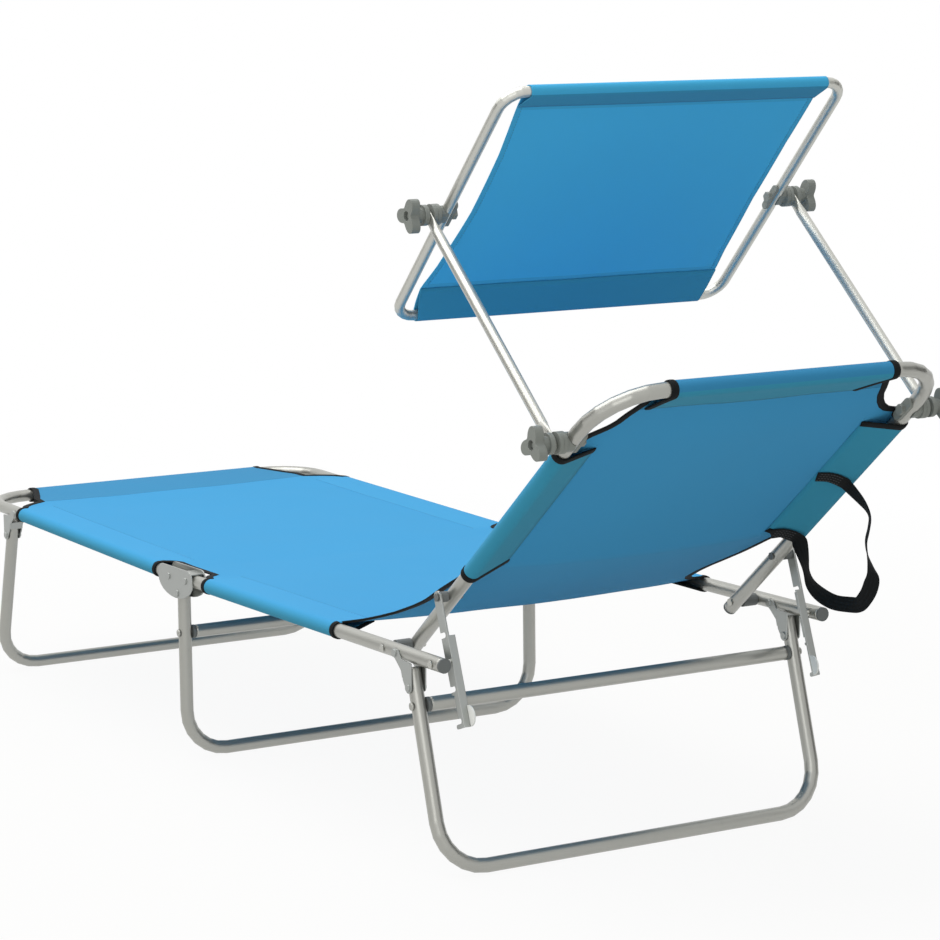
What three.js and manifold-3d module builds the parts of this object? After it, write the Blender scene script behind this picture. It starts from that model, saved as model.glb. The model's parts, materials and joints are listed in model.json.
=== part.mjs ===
// Folding sun lounger with a tilting canopy, shown reclined with the canopy open.
// Millimetres. X runs from the foot bar to the head, Y across, Z up from the floor.
import * as THREE from 'three';
import { mergeVertices } from 'three/addons/utils/BufferGeometryUtils.js';
import Module from 'manifold-3d';

const wasm = await Module();
wasm.setup();

// Frame
const FRAME_TUBE_RADIUS = 9;
const FRAME_HALF_WIDTH = 280;
const FOOT_LENGTH = 706;
const SEAT_LENGTH = 746;
const FOOT_BAR_HEIGHT = 267;
const HINGE_HEIGHT = 257;
const SEAT_REAR_HEIGHT = 264.4;
const FOOT_CORNER_RADIUS = 75;
const PLUG_LENGTH = 3;
const PLUG_GAP = 0.3;

// Legs
const LEG_CORNER_RADIUS = 60;
const LEG_PIVOT_DROP = 38;
const LEG_TOP_GAP = 5;
const FOOT_LEG_INSET = 113;
const FOOT_LEG_FLOOR_INSET = 52;
const MID_LEG_REACH = 26;
const MID_LEG_PIVOT_DROP = 21;
const REAR_LEG_REACH = 66;
const REAR_LEG_SPREAD = 64;
const MID_CROSSBAR_DROP = 56.3;
const REAR_CROSSBAR_DROP = 22.7;
const CROSSBAR_CAP_LENGTH = 5;

// Backrest and its racks
const BACK_RECLINE_DEG = 38.8;
const BACK_TUBE_SPACING = 39.5;
const BACK_LENGTH = 561;
const BACK_CORNER_RADIUS = 75;
const BACK_TAIL = 15;
const BACK_CAP_LENGTH = 3;
const RACK_PIVOT_REACH = 119;
const RACK_PIN_INSET = 15;
const RACK_OUTWARD_SHIFT = 1.75;
const RACK_THICKNESS = 2.4;
const RACK_HALF_WIDTH = 8;
const RACK_FLANGE_START = 48;
const RACK_FLANGE_DEPTH = 8;
const RACK_SLOT_WIDTH = 7;
const RACK_SLOT_PITCH = 33;
const RACK_HOOK_SPACING = 39;
const RACK_HOOK_END = 9;
const RACK_RELIEF_DEPTH = 5;
const RACK_TAB_RADIUS = 13;
const RACK_TAB_THICKNESS = 2;
const RACK_PIN_RADIUS = 3;

// Canopy
const CLAMP_BEND_GAP = 20;
const ARM_SWING_DEG = 99.8;
const ARM_LENGTH = 366;
const ARM_FLAT_THICKNESS = 5;
const ARM_FLAT_LENGTH = 22;
const ARM_TAPER_LENGTH = 15;
const CANOPY_TUBE_RADIUS = 6.5;
const CANOPY_TILT_DEG = 93.4;
const CANOPY_TOP_REACH = 206;
const CANOPY_BOTTOM_REACH = 186;
const CANOPY_CORNER_RADIUS = 28;

// Clamps, outwards along Y from the tube that they hold
const CLAMP_DISC_RADIUS = 13;
const CLAMP_DISC_THICKNESS = 5;
const JAW_WALL = 3;
const BACK_JAW_FACE_WALL = 2.4;
const CANOPY_JAW_FACE_WALL = 4.4;
const JAW_LENGTH = 24;
const SADDLE_LENGTH = 40;
const CLAMP_BOLT_RADIUS = 3;
const CLAMP_NUT_RADIUS = 6;
const CLAMP_NUT_LENGTH = 4.5;
const KNOB_FLANGE_RADIUS = 12.5;
const KNOB_FLANGE_LENGTH = 6;
const KNOB_NECK_RADIUS = 9;
const KNOB_NECK_LENGTH = 9;
const KNOB_HANDLE_LENGTH = 11;
const KNOB_RADIUS = 16.5;
const KNOB_LOBE_DEPTH = 6;
const KNOB_RECESS_RADIUS = 6;
const KNOB_RECESS_DEPTH = 6;
const LOWER_KNOB_TURN_DEG = 61;
const UPPER_KNOB_TURN_DEG = 41;

// Pressed sheet parts and their fasteners
const HINGE_PLATE_THICKNESS = 1.8;
const HINGE_PLATE_SHIFT = 21;
const HINGE_PLATE_HALF_LENGTH = 54;
const HINGE_PLATE_DEPTH = 28;
const HINGE_PLATE_RISE = 15;
const HINGE_RIVET_SPACING = 53;
const HINGE_TUBE_STUB = 14;
const HINGE_WEB_LENGTH = 34;
const BRACKET_THICKNESS = 1.6;
const BRACKET_LENGTH = 40;
const BRACKET_EYE_RADIUS = 7;
const RIVET_RADIUS = 2.8;
const RIVET_HEAD_RADIUS = 4.8;
const RIVET_HEAD_HEIGHT = 1.5;
const SPACER_RADIUS = 8;
const RACK_SPACER_RADIUS = 6.5;

// Cloth
const CLOTH_THICKNESS = 1.5;
const SLEEVE_SEAM_INSET = 50;
const SEAT_SAG = 7;
const BACK_SAG = 9;
const BACK_SAG_RAMP = 135;
const CANOPY_SAG = 8;
const FOOT_HEM_BEND_GAP = 2;
const FOOT_HEM_LENGTH = 60;
const FOOT_SAG_RAMP = 180;
const FOOT_NOTCH_DEPTH = 50;
const SLEEVE_BRACKET_GAP = 9;
const HINGE_SLEEVE_GAP = 48;
const HINGE_CLOTH_BEFORE = 22;
const HINGE_CLOTH_AFTER = 26;
const HINGE_CUT_OUT_DEPTH = 22;
const SEAT_SLEEVE_START = 104;
const LAP_REACH = 128;
const LAP_INSET = 18.5;
const BACK_SLEEVE_START = 145;
const CLAMP_SLEEVE_GAP = 38;
const CLAMP_CLOTH_GAP = 2;
const BACK_HEM_BEND_GAP = 4.5;
const BACK_HEM_LENGTH = 45;
const CANOPY_HEM_BEND_GAP = 1;
const CANOPY_WAIST_DEPTH = 7;
const CANOPY_TOP_HEM_LENGTH = 30;
const CANOPY_BOTTOM_HEM_LENGTH = 45;

// Webbing strap behind the left-hand side of a person lying down
const STRAP_WIDTH = 20;
const STRAP_THICKNESS = 1.6;
const STRAP_TOP_REACH = 309;
const STRAP_INSET = 8.5;
const STRAP_HANG = 156;

// Running clearances and facet counts
const FIT_GAP = 0.3;
const CUT_OVERRUN = 2;
const TUBE_SIDES = 16;
const SMALL_SIDES = 12;
const ROUND_SIDES = 24;
const BEND_STEPS = 6;
const ARC_STEPS = 6;
const NUT_SIDES = 6;
const KNOB_LOBES = 3;
const FOOT_CLOTH_STEPS = 14;
const HINGE_CLOTH_STEPS = 4;
const SEAT_CLOTH_STEPS = 10;
const BACK_CLOTH_STEPS = 12;
const CANOPY_CLOTH_STEPS = 12;
const CLOTH_WIDTH_STEPS = 10;

const METAL_ROUGHNESS = 0.35;
const silver = finish('#c6cbca', METAL_ROUGHNESS, 0.8);
const brightSteel = finish('#b9bdba', METAL_ROUGHNESS, 1);
const greyPlastic = finish('#80857f', 0.5, 0);
const darkPlastic = finish('#5f6466', 0.6, 0);
const whitePlastic = finish('#eef0f0', 0.4, 0);
const seatFabric = finish('#55aee6', 0.9, 0);
const canopyFabric = finish('#4a9fd4', 0.9, 0);
const blackWebbing = finish('#15191c', 0.85, 0);

function finish(color, roughness, metalness) {
  return new THREE.MeshStandardMaterial({ color, roughness, metalness });
}

// Geometry helpers

function bare(geometry) {
  const plain = geometry.index ? geometry.toNonIndexed() : geometry.clone();
  plain.deleteAttribute('normal');
  plain.deleteAttribute('uv');
  return mergeVertices(plain);
}

function toSolid(geometry) {
  const merged = bare(geometry);
  const vertProperties = Float32Array.from(merged.attributes.position.array);
  const triVerts = Uint32Array.from(merged.index.array);
  return new wasm.Manifold(new wasm.Mesh({ numProp: 3, vertProperties, triVerts }));
}

function toGeometry(solid) {
  const mesh = solid.getMesh();
  const geometry = new THREE.BufferGeometry();
  geometry.setAttribute('position', new THREE.BufferAttribute(mesh.vertProperties, 3));
  geometry.setIndex(new THREE.BufferAttribute(mesh.triVerts, 1));
  geometry.computeVertexNormals();
  return geometry;
}

function join(...geometries) {
  const solids = geometries.map(toSolid);
  return toGeometry(solids.reduce((whole, next) => whole.add(next)));
}

function cut(geometry, ...tools) {
  return toGeometry(tools.reduce((body, tool) => body.subtract(toSolid(tool)), toSolid(geometry)));
}

// A regular polygon whose flats lie at the radius, the first flat facing the turn angle.
function polygon(radius, sides, turn = 0) {
  const corner = radius / Math.cos(Math.PI / sides);
  const points = [];
  for (let i = 0; i < sides; i++) {
    const angle = turn + (2 * i + 1) * Math.PI / sides;
    points.push(new THREE.Vector2(corner * Math.cos(angle), corner * Math.sin(angle)));
  }
  return new THREE.Shape(points);
}

// A curve that passes each of its stations at an even parameter, with the tangent given there.
class StationPath extends THREE.Curve {
  constructor(stations) {
    super();
    this.stations = stations;
  }

  getUtoTmapping(u) {
    return u;
  }

  getPoint(t, target = new THREE.Vector3()) {
    const place = t * (this.stations.length - 1);
    const index = Math.min(Math.floor(place), this.stations.length - 2);
    return target.lerpVectors(this.stations[index].point, this.stations[index + 1].point, place - index);
  }

  getTangent(t, target = new THREE.Vector3()) {
    return target.copy(this.stations[Math.round(t * (this.stations.length - 1))].tangent);
  }
}

// Straight runs between the corners, with an arc of the bend radius at each corner.
function bentPath(corners, bendRadius) {
  const heading = (i) => corners[i + 1].clone().sub(corners[i]).normalize();
  const stations = [{ point: corners[0], tangent: heading(0) }];
  for (let i = 1; i < corners.length - 1; i++) {
    const from = heading(i - 1);
    const turn = from.angleTo(heading(i));
    const axis = from.clone().cross(heading(i)).normalize();
    const start = corners[i].clone().addScaledVector(from, -bendRadius * Math.tan(turn / 2));
    const inward = axis.clone().cross(from);
    const centre = start.clone().addScaledVector(inward, bendRadius);
    for (let k = 0; k <= BEND_STEPS; k++) {
      const angle = turn * k / BEND_STEPS;
      const spoke = inward.clone().applyAxisAngle(axis, angle);
      const point = centre.clone().addScaledVector(spoke, -bendRadius);
      stations.push({ point, tangent: from.clone().applyAxisAngle(axis, angle) });
    }
  }
  stations.push({ point: corners.at(-1), tangent: heading(corners.length - 2) });
  return new StationPath(stations);
}

function tube(path, radius, sides = TUBE_SIDES, turn = 0) {
  const steps = path.stations.length - 1;
  return new THREE.ExtrudeGeometry(polygon(radius, sides, turn), { extrudePath: path, steps });
}

function rod(start, end, radius, sides = SMALL_SIDES) {
  const tangent = end.clone().sub(start).normalize();
  return tube(new StationPath([{ point: start, tangent }, { point: end, tangent }]), radius, sides);
}

// A round bar across the lounger, from one distance from the middle plane to another on one side.
function crossRod(x, z, side, inner, outer, radius, sides = SMALL_SIDES) {
  return rod(at(x, side * inner, z), at(x, side * outer, z), radius, sides);
}

// A flat plate drawn in X and Z, between two distances from the middle plane on one side.
function plate(shape, side, inner, outer) {
  const settings = { depth: outer - inner, bevelEnabled: false, curveSegments: ARC_STEPS };
  const geometry = new THREE.ExtrudeGeometry(shape, settings);
  geometry.rotateX(Math.PI / 2);
  return geometry.translate(0, side > 0 ? outer : -inner, 0);
}

// A flat plate drawn in X and Y, between two heights.
function slab(shape, low, high) {
  const geometry = new THREE.ExtrudeGeometry(shape, { depth: high - low, bevelEnabled: false });
  return geometry.translate(0, 0, low);
}

function box(xLow, xHigh, yLow, yHigh, zLow, zHigh) {
  const geometry = new THREE.BoxGeometry(xHigh - xLow, yHigh - yLow, zHigh - zLow);
  return geometry.translate((xLow + xHigh) / 2, (yLow + yHigh) / 2, (zLow + zHigh) / 2);
}

function sideBox(xLow, xHigh, side, inner, outer, zLow, zHigh) {
  return side > 0
    ? box(xLow, xHigh, inner, outer, zLow, zHigh)
    : box(xLow, xHigh, -outer, -inner, zLow, zHigh);
}

function at(x, y, z) {
  return new THREE.Vector3(x, y, z);
}

function radians(degrees) {
  return THREE.MathUtils.degToRad(degrees);
}

function shapeOf(pairs) {
  return new THREE.Shape(pairs.map(([x, y]) => new THREE.Vector2(x, y)));
}

// A rivet through a stack, its heads on the inner and outer faces.
function rivet(x, z, side, inner, outer) {
  const shank = crossRod(x, z, side, inner - RIVET_HEAD_HEIGHT, outer + RIVET_HEAD_HEIGHT, RIVET_RADIUS);
  const innerHead = crossRod(x, z, side, inner - RIVET_HEAD_HEIGHT, inner, RIVET_HEAD_RADIUS);
  const outerHead = crossRod(x, z, side, outer, outer + RIVET_HEAD_HEIGHT, RIVET_HEAD_RADIUS);
  return join(shank, innerHead, outerHead);
}

function rivetHole(x, z, side, inner, outer, radius = RIVET_RADIUS) {
  return crossRod(x, z, side, inner - CUT_OVERRUN, outer + CUT_OVERRUN, radius + FIT_GAP);
}

const sides = [[-1, 'left'], [1, 'right']];
const lounger = new THREE.Group();

function node(parent, name, geometry, material) {
  const mesh = new THREE.Mesh(geometry, material);
  mesh.name = name;
  parent.add(mesh);
  return mesh;
}

function bodyGroup(parent, x, z, turnY) {
  const group = new THREE.Group();
  group.position.set(x, 0, z);
  group.rotation.y = turnY;
  parent.add(group);
  return group;
}

// Places worked out from the driving sizes

const tubeInnerY = FRAME_HALF_WIDTH - FRAME_TUBE_RADIUS;
const tubeOuterY = FRAME_HALF_WIDTH + FRAME_TUBE_RADIUS;
const backHalfWidth = FRAME_HALF_WIDTH - BACK_TUBE_SPACING;
const backInnerY = backHalfWidth - FRAME_TUBE_RADIUS;
const backOuterY = backHalfWidth + FRAME_TUBE_RADIUS;
const seatRise = Math.atan2(SEAT_REAR_HEIGHT - HINGE_HEIGHT, SEAT_LENGTH);
const footRise = Math.atan2(FOOT_BAR_HEIGHT - HINGE_HEIGHT, FOOT_LENGTH);
const recline = radians(BACK_RECLINE_DEG);
const pinReach = 2 * RACK_PIVOT_REACH * Math.sin(recline / 2);
const rackPinLocal = SEAT_LENGTH - RACK_PIN_INSET;
const backPivotLocal = rackPinLocal - RACK_PIVOT_REACH;
const rearLegLocal = backPivotLocal + REAR_LEG_REACH;
const footLegLocal = FOOT_LEG_INSET - FOOT_LENGTH;
const clampReach = BACK_LENGTH - BACK_CORNER_RADIUS - CLAMP_BEND_GAP;

const seat = bodyGroup(lounger, FOOT_LENGTH, HINGE_HEIGHT, -seatRise);
const foot = bodyGroup(lounger, FOOT_LENGTH, HINGE_HEIGHT, footRise);
const back = bodyGroup(seat, backPivotLocal, 0, -recline);
const racks = bodyGroup(back, RACK_PIVOT_REACH, 0, Math.PI / 2 + recline / 2);
const arms = bodyGroup(back, clampReach, 0, -radians(ARM_SWING_DEG));
const canopy = bodyGroup(arms, ARM_LENGTH, 0, radians(CANOPY_TILT_DEG));

// Seat frame

const seatTubeStart = HINGE_RIVET_SPACING - HINGE_TUBE_STUB;
const bracketRivetShare = 0.825;
const bracketRivetReach = BRACKET_LENGTH * bracketRivetShare;

function seatTube(side) {
  const y = side * FRAME_HALF_WIDTH;
  const blank = rod(at(seatTubeStart, y, 0), at(SEAT_LENGTH, y, 0), FRAME_TUBE_RADIUS, TUBE_SIDES);
  const bracketRivet = rearLegLocal - bracketRivetReach;
  const holes = [HINGE_RIVET_SPACING, bracketRivet, backPivotLocal, rackPinLocal].map((x) =>
    rivetHole(x, 0, side, tubeInnerY, tubeOuterY));
  return cut(blank, ...holes);
}

function endPlug(side) {
  const y = side * FRAME_HALF_WIDTH;
  const start = SEAT_LENGTH + PLUG_GAP;
  return rod(at(start, y, 0), at(start + PLUG_LENGTH, y, 0), FRAME_TUBE_RADIUS, TUBE_SIDES);
}

const rackMidY = (backOuterY + tubeInnerY) / 2 + RACK_OUTWARD_SHIFT;
const rackInnerY = rackMidY - RACK_THICKNESS / 2;
const rackOuterY = rackMidY + RACK_THICKNESS / 2;

// The pin stops short of the rack plate that it lies beside.
function rackPin(side) {
  const tip = rackOuterY + FIT_GAP;
  const face = tubeOuterY + FIT_GAP;
  const pin = crossRod(rackPinLocal, 0, side, tip, face, RIVET_RADIUS);
  const collar = crossRod(rackPinLocal, 0, side, tip, tubeInnerY - FIT_GAP,
    RACK_PIN_RADIUS + FIT_GAP);
  const head = crossRod(rackPinLocal, 0, side, face, tubeOuterY + RIVET_HEAD_HEIGHT,
    RIVET_HEAD_RADIUS);
  return join(pin, collar, head);
}

for (const [side, name] of sides) {
  node(seat, `seat_tube_${name}`, seatTube(side), silver);
  node(seat, `seat_tube_plug_${name}`, endPlug(side), darkPlastic);
  node(seat, `rack_pin_${name}`, rackPin(side), brightSteel);
}

// Mid hinge: two cheeks on each side, joined over the seat tube and under the foot tube

const cheekInnerY = tubeInnerY - FIT_GAP;
const cheekOuterY = tubeOuterY + FIT_GAP;
const cheekCornerShare = 0.45;
const cheekWaistShare = 0.1;
const lipStartShare = 0.85;

function cheekShape() {
  const left = HINGE_PLATE_SHIFT - HINGE_PLATE_HALF_LENGTH;
  const right = HINGE_PLATE_SHIFT + HINGE_PLATE_HALF_LENGTH;
  const corner = HINGE_PLATE_RISE * cheekCornerShare * 2;
  const shoulder = -HINGE_PLATE_DEPTH * cheekWaistShare;
  const shape = new THREE.Shape();
  shape.moveTo(left, shoulder);
  shape.absellipse(HINGE_PLATE_SHIFT, shoulder, HINGE_PLATE_HALF_LENGTH, HINGE_PLATE_DEPTH + shoulder,
    Math.PI, 2 * Math.PI, false, 0);
  shape.quadraticCurveTo(right, HINGE_PLATE_RISE, right - corner, HINGE_PLATE_RISE);
  shape.lineTo(left + corner, HINGE_PLATE_RISE);
  shape.quadraticCurveTo(left, HINGE_PLATE_RISE, left, shoulder);
  return shape;
}

// One pressed part with its three rivets: the foot tube's pivot, the seat tube's and the leg's.
function hingeBracket(side) {
  const innerFace = cheekInnerY - HINGE_PLATE_THICKNESS;
  const outerFace = cheekOuterY + HINGE_PLATE_THICKNESS;
  const web = FRAME_TUBE_RADIUS + FIT_GAP;
  const topStart = HINGE_RIVET_SPACING - HINGE_WEB_LENGTH / 2;
  const lipStart = HINGE_PLATE_SHIFT - HINGE_PLATE_HALF_LENGTH * lipStartShare;
  return join(
    plate(cheekShape(), side, innerFace, cheekInnerY),
    plate(cheekShape(), side, cheekOuterY, outerFace),
    sideBox(topStart, topStart + HINGE_WEB_LENGTH, side, innerFace, outerFace,
      web, web + HINGE_PLATE_THICKNESS),
    sideBox(lipStart, -HINGE_TUBE_STUB, side, innerFace, outerFace,
      -web - HINGE_PLATE_THICKNESS, -web),
    rivet(0, 0, side, innerFace, outerFace),
    rivet(HINGE_RIVET_SPACING, 0, side, innerFace, outerFace),
    rivet(MID_LEG_REACH, -MID_LEG_PIVOT_DROP, side, innerFace, outerFace));
}

for (const [side, name] of sides) {
  node(seat, `hinge_bracket_${name}`, hingeBracket(side), silver);
}

// Leg brackets: channels riveted to the side tubes, with the leg between their flanges and a web
// that the leg's top bears on. Drawn from the leg's pivot, with the web towards -X, or mirrored.

const flangeInnerY = tubeInnerY - FIT_GAP;
const flangeOuterY = tubeOuterY + FIT_GAP;
// Shares of the bracket's length and of the pivot's drop below the side tube.
const flangeShares = [
  [0.2, 0.82], [-0.4, 0.87], [-0.62, 1.13], [-0.9, 1.15], [-1, 1], [-0.94, 0.88], [-0.78, 0.82],
  [-0.44, 0.52], [-0.34, 0.36], [-0.31, 0.2],
];
const webDropShares = [0.37, 0.66];

function flangeShape(towards) {
  const points = flangeShares.map(([x, z]) => [towards * x * BRACKET_LENGTH, z * LEG_PIVOT_DROP]);
  for (let i = 0; i <= SMALL_SIDES; i++) {
    const angle = Math.PI + Math.PI * i / SMALL_SIDES;
    points.push([towards * BRACKET_EYE_RADIUS * Math.cos(angle), BRACKET_EYE_RADIUS * Math.sin(angle)]);
  }
  return shapeOf(points);
}

function legBracket(side, towards, lean) {
  const inner = flangeInnerY - BRACKET_THICKNESS;
  const outer = flangeOuterY + BRACKET_THICKNESS;
  const face = FRAME_TUBE_RADIUS + FIT_GAP;
  const webEdges = [-towards * face, -towards * (face + BRACKET_THICKNESS)].sort((a, b) => a - b);
  const web = sideBox(...webEdges, side, inner, outer,
    ...webDropShares.map((share) => share * LEG_PIVOT_DROP));
  web.rotateY(lean);
  return join(
    plate(flangeShape(towards), side, inner, flangeInnerY),
    plate(flangeShape(towards), side, flangeOuterY, outer),
    web,
    rivet(0, 0, side, inner, outer),
    rivet(-towards * bracketRivetReach, LEG_PIVOT_DROP, side, inner, outer));
}

const plumb = new THREE.Vector3();

// The lean of a leg from its pivot to the floor bar, as a turn about Y.
function legPlace(parent, pivotX, drop, floorX) {
  const local = at(pivotX, 0, -drop);
  lounger.updateMatrixWorld(true);
  const pivot = parent.localToWorld(local.clone());
  plumb.set(floorX, 0, FRAME_TUBE_RADIUS).sub(pivot);
  return { pivot, length: plumb.length(), turn: Math.atan2(-plumb.x, -plumb.z) };
}

// A U of tube: two sides down from the pivots and a floor bar, with a flat facet on the floor.
function legTube(place, pivotDrop, ...rivetDrops) {
  const y = FRAME_HALF_WIDTH;
  const top = pivotDrop - FRAME_TUBE_RADIUS - LEG_TOP_GAP;
  const corners = [at(0, -y, top), at(0, -y, -place.length), at(0, y, -place.length), at(0, y, top)];
  const path = bentPath(corners, LEG_CORNER_RADIUS);
  const holes = sides.flatMap(([side]) => [0, ...rivetDrops].map((drop) =>
    rivetHole(0, -drop, side, tubeInnerY, tubeOuterY)));
  return cut(tube(path, FRAME_TUBE_RADIUS, TUBE_SIDES, -place.turn), ...holes);
}

function legGroup(place) {
  return bodyGroup(lounger, place.pivot.x, place.pivot.z, place.turn);
}

// A bar between the leg's sides, with the rivets that hold it there through its caps.
function crossbar(drop) {
  const capOuter = tubeInnerY - FIT_GAP;
  const end = capOuter - CROSSBAR_CAP_LENGTH - FIT_GAP;
  const face = tubeOuterY + FIT_GAP;
  const ends = sides.flatMap(([side]) => [
    crossRod(0, -drop, side, 0, face + RIVET_HEAD_HEIGHT, RIVET_RADIUS),
    crossRod(0, -drop, side, face, face + RIVET_HEAD_HEIGHT, RIVET_HEAD_RADIUS),
  ]);
  return join(rod(at(0, -end, -drop), at(0, end, -drop), FRAME_TUBE_RADIUS, TUBE_SIDES), ...ends);
}

function crossbarCap(drop, side) {
  const outer = tubeInnerY - FIT_GAP;
  const inner = outer - CROSSBAR_CAP_LENGTH;
  return cut(
    crossRod(0, -drop, side, inner, outer, FRAME_TUBE_RADIUS + FIT_GAP, TUBE_SIDES),
    rivetHole(0, -drop, side, inner, outer));
}

const footLegPlace = legPlace(foot, footLegLocal, LEG_PIVOT_DROP, FOOT_LEG_FLOOR_INSET);
const midLegPlace = legPlace(seat, MID_LEG_REACH, MID_LEG_PIVOT_DROP, FOOT_LENGTH + MID_LEG_REACH);
const rearLegPlace = legPlace(seat, rearLegLocal, LEG_PIVOT_DROP,
  FOOT_LENGTH + rearLegLocal + REAR_LEG_SPREAD);

const footLeg = legGroup(footLegPlace);
const midLeg = legGroup(midLegPlace);
const rearLeg = legGroup(rearLegPlace);

node(footLeg, 'foot_leg', legTube(footLegPlace, LEG_PIVOT_DROP), silver);
node(midLeg, 'mid_leg', legTube(midLegPlace, MID_LEG_PIVOT_DROP, MID_CROSSBAR_DROP), silver);
node(rearLeg, 'rear_leg', legTube(rearLegPlace, LEG_PIVOT_DROP, REAR_CROSSBAR_DROP), silver);
node(midLeg, 'mid_crossbar', crossbar(MID_CROSSBAR_DROP), silver);
node(rearLeg, 'rear_crossbar', crossbar(REAR_CROSSBAR_DROP), silver);
for (const [side, name] of sides) {
  const footBracket = legBracket(side, -1, footLegPlace.turn - footRise);
  const rearBracket = legBracket(side, 1, rearLegPlace.turn + seatRise);
  footBracket.translate(footLegLocal, 0, -LEG_PIVOT_DROP);
  rearBracket.translate(rearLegLocal, 0, -LEG_PIVOT_DROP);
  node(midLeg, `mid_crossbar_cap_${name}`, crossbarCap(MID_CROSSBAR_DROP, side), darkPlastic);
  node(rearLeg, `rear_crossbar_cap_${name}`, crossbarCap(REAR_CROSSBAR_DROP, side), darkPlastic);
  node(foot, `foot_leg_bracket_${name}`, footBracket, silver);
  node(seat, `rear_leg_bracket_${name}`, rearBracket, silver);
}

// Foot section frame: a U whose ends pivot on the mid hinges

function footTube() {
  const y = FRAME_HALF_WIDTH;
  const corners = [at(HINGE_TUBE_STUB, -y, 0), at(-FOOT_LENGTH, -y, 0), at(-FOOT_LENGTH, y, 0),
    at(HINGE_TUBE_STUB, y, 0)];
  const rivetX = footLegLocal + bracketRivetReach;
  const holes = sides.flatMap(([side]) => [0, rivetX].map((x) =>
    rivetHole(x, 0, side, tubeInnerY, tubeOuterY)));
  return cut(tube(bentPath(corners, FOOT_CORNER_RADIUS), FRAME_TUBE_RADIUS), ...holes);
}

node(foot, 'foot_tube', footTube(), silver);

// Backrest frame, its pivots and its end caps

function backTube() {
  const y = backHalfWidth;
  const corners = [at(-BACK_TAIL, -y, 0), at(BACK_LENGTH, -y, 0), at(BACK_LENGTH, y, 0),
    at(-BACK_TAIL, y, 0)];
  const holes = sides.flatMap(([side]) => [
    rivetHole(0, 0, side, backInnerY, backOuterY),
    rivetHole(RACK_PIVOT_REACH, 0, side, backInnerY, backOuterY),
    rivetHole(clampReach, 0, side, backInnerY, backOuterY, CLAMP_BOLT_RADIUS),
  ]);
  return cut(tube(bentPath(corners, BACK_CORNER_RADIUS), FRAME_TUBE_RADIUS), ...holes);
}

function backCap(side) {
  const y = side * backHalfWidth;
  const start = -BACK_TAIL - PLUG_GAP;
  return rod(at(start - BACK_CAP_LENGTH, y, 0), at(start, y, 0), FRAME_TUBE_RADIUS, TUBE_SIDES);
}

// The bolt runs from outside the seat tube, through a spacer, to inside the back tube.
function backPivotBolt(side) {
  return rivet(backPivotLocal, 0, side, backInnerY - FIT_GAP, tubeOuterY + FIT_GAP);
}

function backPivotSpacer(side) {
  const inner = backOuterY + FIT_GAP;
  const outer = tubeInnerY - FIT_GAP;
  return cut(
    crossRod(backPivotLocal, 0, side, inner, outer, SPACER_RADIUS, TUBE_SIDES),
    rivetHole(backPivotLocal, 0, side, inner, outer));
}

node(back, 'back_tube', backTube(), silver);
for (const [side, name] of sides) {
  node(back, `back_tube_cap_${name}`, backCap(side), darkPlastic);
  node(seat, `back_pivot_bolt_${name}`, backPivotBolt(side), brightSteel);
  node(seat, `back_pivot_spacer_${name}`, backPivotSpacer(side), darkPlastic);
}

// Racks: slotted bars hung from the back tubes, drawn with +X down the bar and -Z to the foot end

const hookReach = pinReach + RACK_SLOT_PITCH + RACK_HOOK_SPACING;
const rackLength = hookReach + RACK_HOOK_END;
const rackEndRadiusShare = 0.5;

function rackShape() {
  const w = RACK_HALF_WIDTH;
  const half = RACK_SLOT_WIDTH / 2;
  const shape = new THREE.Shape();
  shape.moveTo(0, w);
  shape.absarc(0, 0, w, Math.PI / 2, 1.5 * Math.PI, false);
  const slots = [-1, 0, 1].map((step) => pinReach + step * RACK_SLOT_PITCH);
  for (const middle of slots) {
    shape.lineTo(middle - half, -w);
    shape.lineTo(middle - half, 0);
    shape.absarc(middle, 0, half, Math.PI, 0, true);
    shape.lineTo(middle + half, -w);
  }
  const relief = -w + RACK_RELIEF_DEPTH;
  const fingerStart = hookReach + half;
  shape.lineTo(slots.at(-1) + 2 * half, -w);
  shape.lineTo(slots.at(-1) + 2 * half, relief);
  shape.lineTo(hookReach - half, relief);
  shape.lineTo(hookReach - half, 0);
  shape.absarc(hookReach, 0, half, Math.PI, 0, true);
  shape.lineTo(fingerStart, -w);
  const round = (rackLength - fingerStart) * rackEndRadiusShare;
  shape.absarc(fingerStart + round, -w, round, Math.PI, 2 * Math.PI, false);
  shape.lineTo(rackLength, w);
  return shape;
}

function rackBar(side) {
  const bar = plate(rackShape(), side, rackInnerY, rackOuterY);
  const flange = sideBox(RACK_FLANGE_START, rackLength, side, rackInnerY - RACK_FLANGE_DEPTH,
    rackOuterY, RACK_HALF_WIDTH - RACK_THICKNESS, RACK_HALF_WIDTH);
  return cut(join(bar, flange), rivetHole(0, 0, side, rackInnerY, rackOuterY));
}

// A half-round thumb tab on the lower end of the flange.
function rackTab(side) {
  const face = RACK_HALF_WIDTH + FIT_GAP;
  const shape = new THREE.Shape();
  shape.absarc(rackLength - RACK_TAB_RADIUS, face, RACK_TAB_RADIUS, 0, Math.PI, false);
  const inner = rackInnerY - RACK_FLANGE_DEPTH;
  return plate(shape, side, inner, inner + RACK_TAB_THICKNESS);
}

// The rivet and its spacer hold the rack clear of the back tube.
function rackPivot(side) {
  const spacer = crossRod(RACK_PIVOT_REACH, 0, side, backOuterY + FIT_GAP, rackInnerY - FIT_GAP,
    RACK_SPACER_RADIUS, TUBE_SIDES);
  return join(rivet(RACK_PIVOT_REACH, 0, side, backInnerY - FIT_GAP, rackOuterY + FIT_GAP), spacer);
}

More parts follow.
